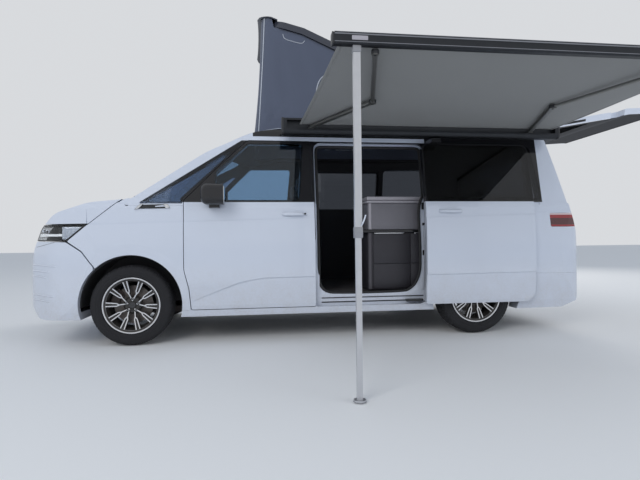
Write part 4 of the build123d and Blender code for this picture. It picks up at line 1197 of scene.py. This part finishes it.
pull = tube([lid_place(y, 0.99, 0.006) for y in (-0.30, -0.15, 0.0, 0.15, 0.30)], 0.007)
pull.data.extrude = 0.008
settle(pull, "tailgate_pull", gloss_trim, "tailgate")
places = [[lid_place(y, 0.80 + 0.11 * step / 3, 0.007) for y in steps(-0.26, 0.26, 8)] for step in range(4)]
settle(grown(cloth_grid(places), 0.004), "rear_plate", plate_white, "tailgate")
arm = tube([lid_place(0.0, 1.235, 0.012), lid_place(-0.12, 1.27, 0.03), lid_place(-0.34, 1.31, 0.02)], 0.006)
blade = tube([lid_place(y, 1.29 + 0.03 * (abs(y) - 0.1), 0.010) for y in (-0.52, -0.42, -0.32, -0.22, -0.12)], 0.005)
settle([arm, blade], "rear_wiper", gloss_trim, "tailgate")
stop_lamp = tube([lid_place(y, 1.865, 0.001) for y in (-0.18, -0.09, 0.0, 0.09, 0.18)], 0.006)
settle(stop_lamp, "high_stop_lamp", lens_red, "tailgate")

# Seats
# Foam cushions in dark woven covers on steel frames. Each pad is blown up against its cover like a filled bag,
# once, and the four seats are copies of it. The seams are sewn on afterwards.
seat_cloth = woven("seat_cloth", (0.050, 0.051, 0.056), 0.003)
seam_finish = moulded("seam_thread", (0.12, 0.12, 0.13), 0.7, grain=0.2)


def pad_form(side_corners, half_width, shrink=0.010):
    """A closed form from four corners of its side view, front top first and going back, drawn in a little."""
    begin()
    bpy.ops.mesh.primitive_cube_add(size=1)
    pad = bpy.context.object
    middle = sum((Vector(corner) for corner in side_corners), Vector((0, 0))) / 4
    drawn = []
    for corner in side_corners:
        reach = Vector(corner) - middle
        drawn.append(middle + reach * (1 - shrink / reach.length))
    front_top, rear_top, rear_low, front_low = drawn
    for vertex in pad.data.vertices:
        is_front, is_top, side_part = vertex.co.x > 0, vertex.co.z > 0, 1 if vertex.co.y > 0 else -1
        corner = (front_top if is_top else front_low) if is_front else (rear_top if is_top else rear_low)
        vertex.co = (corner.x, side_part * (half_width - shrink), corner.y)
    eased = pad.modifiers.new("eased", "BEVEL")
    eased.width, eased.segments = 0.035, 4
    smoothed = pad.modifiers.new("voxels", "REMESH")
    smoothed.mode, smoothed.voxel_size = "VOXEL", 0.009
    bpy.ops.object.modifier_apply(modifier="eased")
    bpy.ops.object.modifier_apply(modifier="voxels")
    return pad


def blown_up(pad, cap):
    """Fills a pad: a cloth skin under pressure, whose points may move no further than the cap."""
    start = [vertex.co.copy() for vertex in pad.data.vertices]
    cloth = pad.modifiers.new("cover", "CLOTH")
    cloth.settings.use_pressure = True
    cloth.settings.uniform_pressure_force = 4
    cloth.settings.effector_weights.gravity = 0
    cloth.point_cache.frame_start, cloth.point_cache.frame_end = 1, 20
    for step in range(1, 21):
        bpy.context.scene.frame_set(step)
    pad = plain_mesh(pad)
    bpy.context.scene.frame_set(1)
    for vertex, place in zip(pad.data.vertices, start):
        move = vertex.co - place
        if move.length > cap:
            vertex.co = place + move * (cap / move.length)
    for polygon in pad.data.polygons:
        polygon.use_smooth = True
    return pad


def seam_over(pad, spots, look, out=0.0015):
    """A sewn seam laid on a pad, from spots in front of it and the way to look at it."""
    places = []
    for spot in spots:
        hit, place, normal, index = pad.ray_cast(Vector(spot) - Vector(look) * 0.5, Vector(look))
        if hit:
            places.append(place + normal * out)
    return tube(places, 0.0022)


pad_rows = [("cushion", [(0.30, 0.79), (-0.19, 0.752), (-0.25, 0.645), (0.29, 0.642)], 0.25, 0.024),
            ("backrest", [(-0.19, 0.765), (-0.27, 1.325), (-0.385, 1.325), (-0.325, 0.668)], 0.24, 0.024),
            ("headrest", [(-0.29, 1.365), (-0.30, 1.535), (-0.375, 1.53), (-0.365, 1.365)], 0.135, 0.012)]
pads = {}
for title, corners, half_width, cap in pad_rows:
    pads[title] = blown_up(pad_form(corners, half_width), cap)
along = steps(0, 1, 14)
seam_rows = {
    "cushion": [[(0.26 - 0.42 * part, y, 0.8) for part in along] for y in (-0.155, 0.155)]
               + [[(x, -0.155 + 0.31 * part, 0.8) for part in along] for x in (0.20, 0.05, -0.09)],
    "backrest": [[(-0.1, y, 0.83 + 0.44 * part) for part in along] for y in (-0.145, 0.145)]
                + [[(-0.1, -0.145 + 0.29 * part, z) for part in along] for z in (0.90, 1.04, 1.18)],
    "headrest": [[(-0.1, -0.11 + 0.22 * part, 1.50) for part in along]]}
seat_rows = [("front", "left", -1.18, 0.40, 1.0), ("front", "right", -1.18, -0.40, 1.0),
             ("rear", "left", -3.26, 0.06, 0.88), ("rear", "right", -3.26, -0.42, 0.88)]
frame_finish = moulded("seat_frame", (0.020, 0.020, 0.022), 0.5)
frames = {"front": [], "rear": []}
for row_name, side_name, seat_x, seat_y, width_part in seat_rows:
    for title, pad in pads.items():
        piece = pad.copy()
        piece.data = pad.data.copy()
        bpy.context.collection.objects.link(piece)
        placing = Matrix.Translation(at(seat_x, seat_y, 0)) @ Matrix.Diagonal((1, width_part, 1, 1))
        piece.data.transform(placing)
        piece = settle(piece, f"{row_name}_{title}_{side_name}", seat_cloth, "body")
        look = (0, 0, -1) if title == "cushion" else (-1, 0, 0)
        seams = [seam_over(piece, [placing @ Vector(spot) for spot in spots], look) for spots in seam_rows[title]]
        settle(seams, f"{row_name}_{title}_seams_{side_name}", seam_finish, "body")
    half, rear_x = 0.25 * width_part, seat_x - 0.33
    frames[row_name] += [
        rounded_block((seat_x - 0.20, seat_y - half + 0.05, 0.402), (seat_x + 0.20, seat_y + half - 0.05, 0.60), 0.02),
        rounded_block((rear_x, seat_y - half + 0.012, 0.602), (seat_x + 0.285, seat_y + half - 0.012, 0.640), 0.012)]
    for y in (seat_y - 0.06, seat_y + 0.06):
        frames[row_name].append(tube([at(rear_x, y, 1.31), at(rear_x - 0.002, y, 1.39)], 0.006, smooth=False))
for row_name, parts in frames.items():
    piece = settle(parts, f"{row_name}_seat_frames", frame_finish, "body")
    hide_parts(f"{row_name}_seats")
for pad in pads.values():
    bpy.data.objects.remove(pad)

# Dashboard and steering wheel
# A soft-grained moulding carries a driver's display, a wide middle screen and four vents. The wheel has a flat pad.
screen_glass = moulded("screen_glass", (0.008, 0.009, 0.011), 0.08, grain=0.0, coat=1.0)
screens = [rounded_block((-0.560, 0.27, 1.165), (-0.545, 0.53, 1.270), 0.004),
           rounded_block((-0.575, -0.16, 1.05), (-0.560, 0.17, 1.240), 0.004)]
settle(screens, "dashboard_screens", screen_glass, "body")
vents = []
for y in (-0.76, -0.28, 0.24, 0.70):
    vents.append(rounded_block((-0.562, y - 0.075, 0.985), (-0.548, y + 0.075, 1.045), 0.006))
    for z in (0.995, 1.008, 1.021, 1.034):
        vents.append(rounded_block((-0.567, y - 0.068, z), (-0.556, y + 0.068, z + 0.003), 0.001))
settle(vents, "dashboard_vents", gloss_trim, "body")
rake = about(at(-0.690, 0.400, 1.045), math.radians(28))
hub_parts = [rounded_block((-0.725, 0.335, 0.985), (-0.690, 0.465, 1.095), 0.012, 0.030, "X")]
for y in (0.295, 0.505):
    hub_parts.append(rounded_block((-0.712, y - 0.022, 1.020), (-0.700, y + 0.022, 1.060), 0.004))
for part in hub_parts:
    part.data.transform(rake)
settle(hub_parts, "steering_hub_pad", gloss_trim, "steering_wheel")

# Awning fittings
# Cast covers close the ends of the case and rail, black joints carry the arms, and each leg has a clamp collar
# with a lever, a pivot at the rail and a ribbed foot. A small plain plate lies on the rail near its front end.
cast_black = moulded("cast_black", (0.020, 0.021, 0.024), 0.45, grain=0.15)
covers = [rounded_block((near_x, 0.902, 1.827), (far_x, 1.018, 1.983), 0.004, 0.038, "X")
          for near_x, far_x in ((-1.304, -1.322), (-3.936, -3.918))]
covers += [rounded_block((near_x, 2.608, 1.961), (far_x, 2.672, 2.029), 0.003, 0.012, "X")
           for near_x, far_x in ((-1.492, -1.502), (-3.988, -3.978))]
settle(covers, "awning_end_covers", cast_black, "body")
# Pale bluish strips along the top and outer face of the dark front rail: painted reflection of the sky on it.
rail_sky_reflection = anodised("rail_sky_reflection", (0.30, 0.31, 0.34), 0.4)
edges = [rounded_block((-1.505, 2.640, 2.0255), (-3.975, 2.668, 2.0300), 0.0015),
         rounded_block((-1.505, 2.6695, 2.012), (-3.975, 2.6725, 2.020), 0.001),
         rounded_block((-1.505, 2.6695, 1.972), (-3.975, 2.6720, 1.976), 0.001)]
settle(edges, "awning_rail_reflections", rail_sky_reflection, "body")
rail_plate = rounded_block((-1.600, 2.6695, 1.984), (-1.690, 2.6720, 2.008), 0.0008, 0.004, "Y")
settle(rail_plate, "awning_bare_label", kitchen_rim_and_highlight, "body")
arm_joints = []
for shoulder, elbow, tip in (((-1.560, 1.000, 1.897), (-1.930, 1.780, 1.908), (-1.745, 2.606, 1.945)),
                             ((-3.640, 1.000, 1.897), (-3.360, 1.780, 1.908), (-3.700, 2.606, 1.945))):
    for middle, radius, tall in ((shoulder, 0.029, 0.024), (elbow, 0.029, 0.026), (tip, 0.023, 0.024)):
        arm_joints.append(round_bar(at(*middle), radius, tall, across=False))
        bpy.ops.object.mode_set(mode="EDIT")
        bpy.ops.mesh.select_all(action="SELECT")
        bpy.ops.mesh.bevel(offset=0.003, segments=2, affect="EDGES")
        bpy.ops.object.mode_set(mode="OBJECT")
        bpy.ops.object.shade_smooth_by_angle(angle=math.radians(35))
        arm_joints.append(round_bar(at(*middle), 0.008, tall + 0.014, 16, across=False))
settle(arm_joints, "awning_arm_joints", cast_black, "body")
collars, levers = [], []
for x in (-1.630, -3.850):
    collars.append(rounded_block((x - 0.0235, 2.622, 0.905), (x + 0.0235, 2.658, 0.965), 0.003, 0.006))
    collars.append(rounded_block((x - 0.024, 2.620, 1.925), (x + 0.024, 2.660, 1.961), 0.003))
    for step in range(4):
        begin()
        bpy.ops.mesh.primitive_torus_add(major_radius=0.0345 - 0.004 * step, minor_radius=0.0022, major_segments=40,
                                         minor_segments=8, location=at(x, 2.640, 0.0052 + 0.003 * step))
        collars.append(bpy.context.object)
    levers.append(tube([at(x - 0.016, 2.657, 0.975), at(x - 0.020, 2.668, 0.985), at(x - 0.030, 2.672, 1.010),
                        at(x - 0.036, 2.670, 1.030)], 0.0042))
settle(collars, "awning_leg_collars", anodised("collar_grey", (0.42, 0.43, 0.46), 0.4), "body")
settle(levers, "awning_leg_levers", handle_paint, "body")

# Tailgate lamps
# Two warm courtesy lamps are clipped into the liner of the lid, one near each side. Each is a small moulded dome
# with a light of its own.
lamp_warm, shader, place = new_finish("lamp_warm", (0.95, 0.80, 0.35), 0.3)
glow = blend_colour(noise(place, 80.0), (1.0, 0.82, 0.30), (0.9, 0.66, 0.18))
wire(shader, Emission_Color=glow, Emission_Strength=0.5)
lamps = []
for side_sign in (1, -1):
    hit, place, normal, index = nodes["tailgate"].ray_cast(at(-4.12, side_sign * 0.675, 0.9), upwards)
    lamps.append(ball(place + 0.001 * down, 1, (0.030, 0.014, 0.006), 32, 12))
settle(lamps, "tailgate_lamps", lamp_warm, "tailgate")

# Bonnet corner pads
# Small painted pads on the tops of the wings close the corners between the bonnet, the wing and the screen.
# Each is a soft moulding pushed down over the wing's edge.
corner_pads = []
for side_sign in (1, -1):
    side_view = [(0.012, 1.210), (0.088, 1.219), (0.087, 1.238), (0.058, 1.258), (0.034, 1.267), (0.012, 1.272)]
    slices = [[at(x, side_sign * (y - max(0.0, z - 1.22) * 0.25), z) for x, z in side_view]
              for y in (0.872, 0.890, 0.910, 0.930, 0.938)]
    pad = cloth_grid(slices, closed=True)
    begin(pad)
    bpy.ops.object.mode_set(mode="EDIT")
    bpy.ops.mesh.select_all(action="DESELECT")
    mesh = bmesh.from_edit_mesh(pad.data)
    for edge in mesh.edges:
        edge.select = edge.is_boundary
    bmesh.update_edit_mesh(pad.data)
    bpy.ops.mesh.edge_face_add()
    bpy.ops.mesh.select_all(action="SELECT")
    bpy.ops.mesh.normals_make_consistent(inside=False)
    bpy.ops.object.mode_set(mode="OBJECT")
    bpy.ops.object.shade_smooth_by_angle(angle=math.radians(35))
    corner_pads.append(pad)
settle(corner_pads, "bonnet_corner_pads", handle_paint, "body")

# Cabin floor
# A ribbed vinyl sheet lies over the floor of the body, from behind the front seats to the tailgate.
# Its ribs run lengthwise.
floor_parts = [rounded_block((-3.90, -0.74, 0.3985), (-1.66, 0.74, 0.4015), 0.001)]
for y in steps(-0.70, 0.70, 11):
    floor_parts.append(rounded_block((-3.88, y - 0.004, 0.401), (-1.68, y + 0.004, 0.4035), 0.001))
floor_finish = moulded("floor_vinyl", (0.050, 0.048, 0.050), 0.6, grain=0.2)
settle(floor_parts, "cabin_floor", floor_finish, "body")
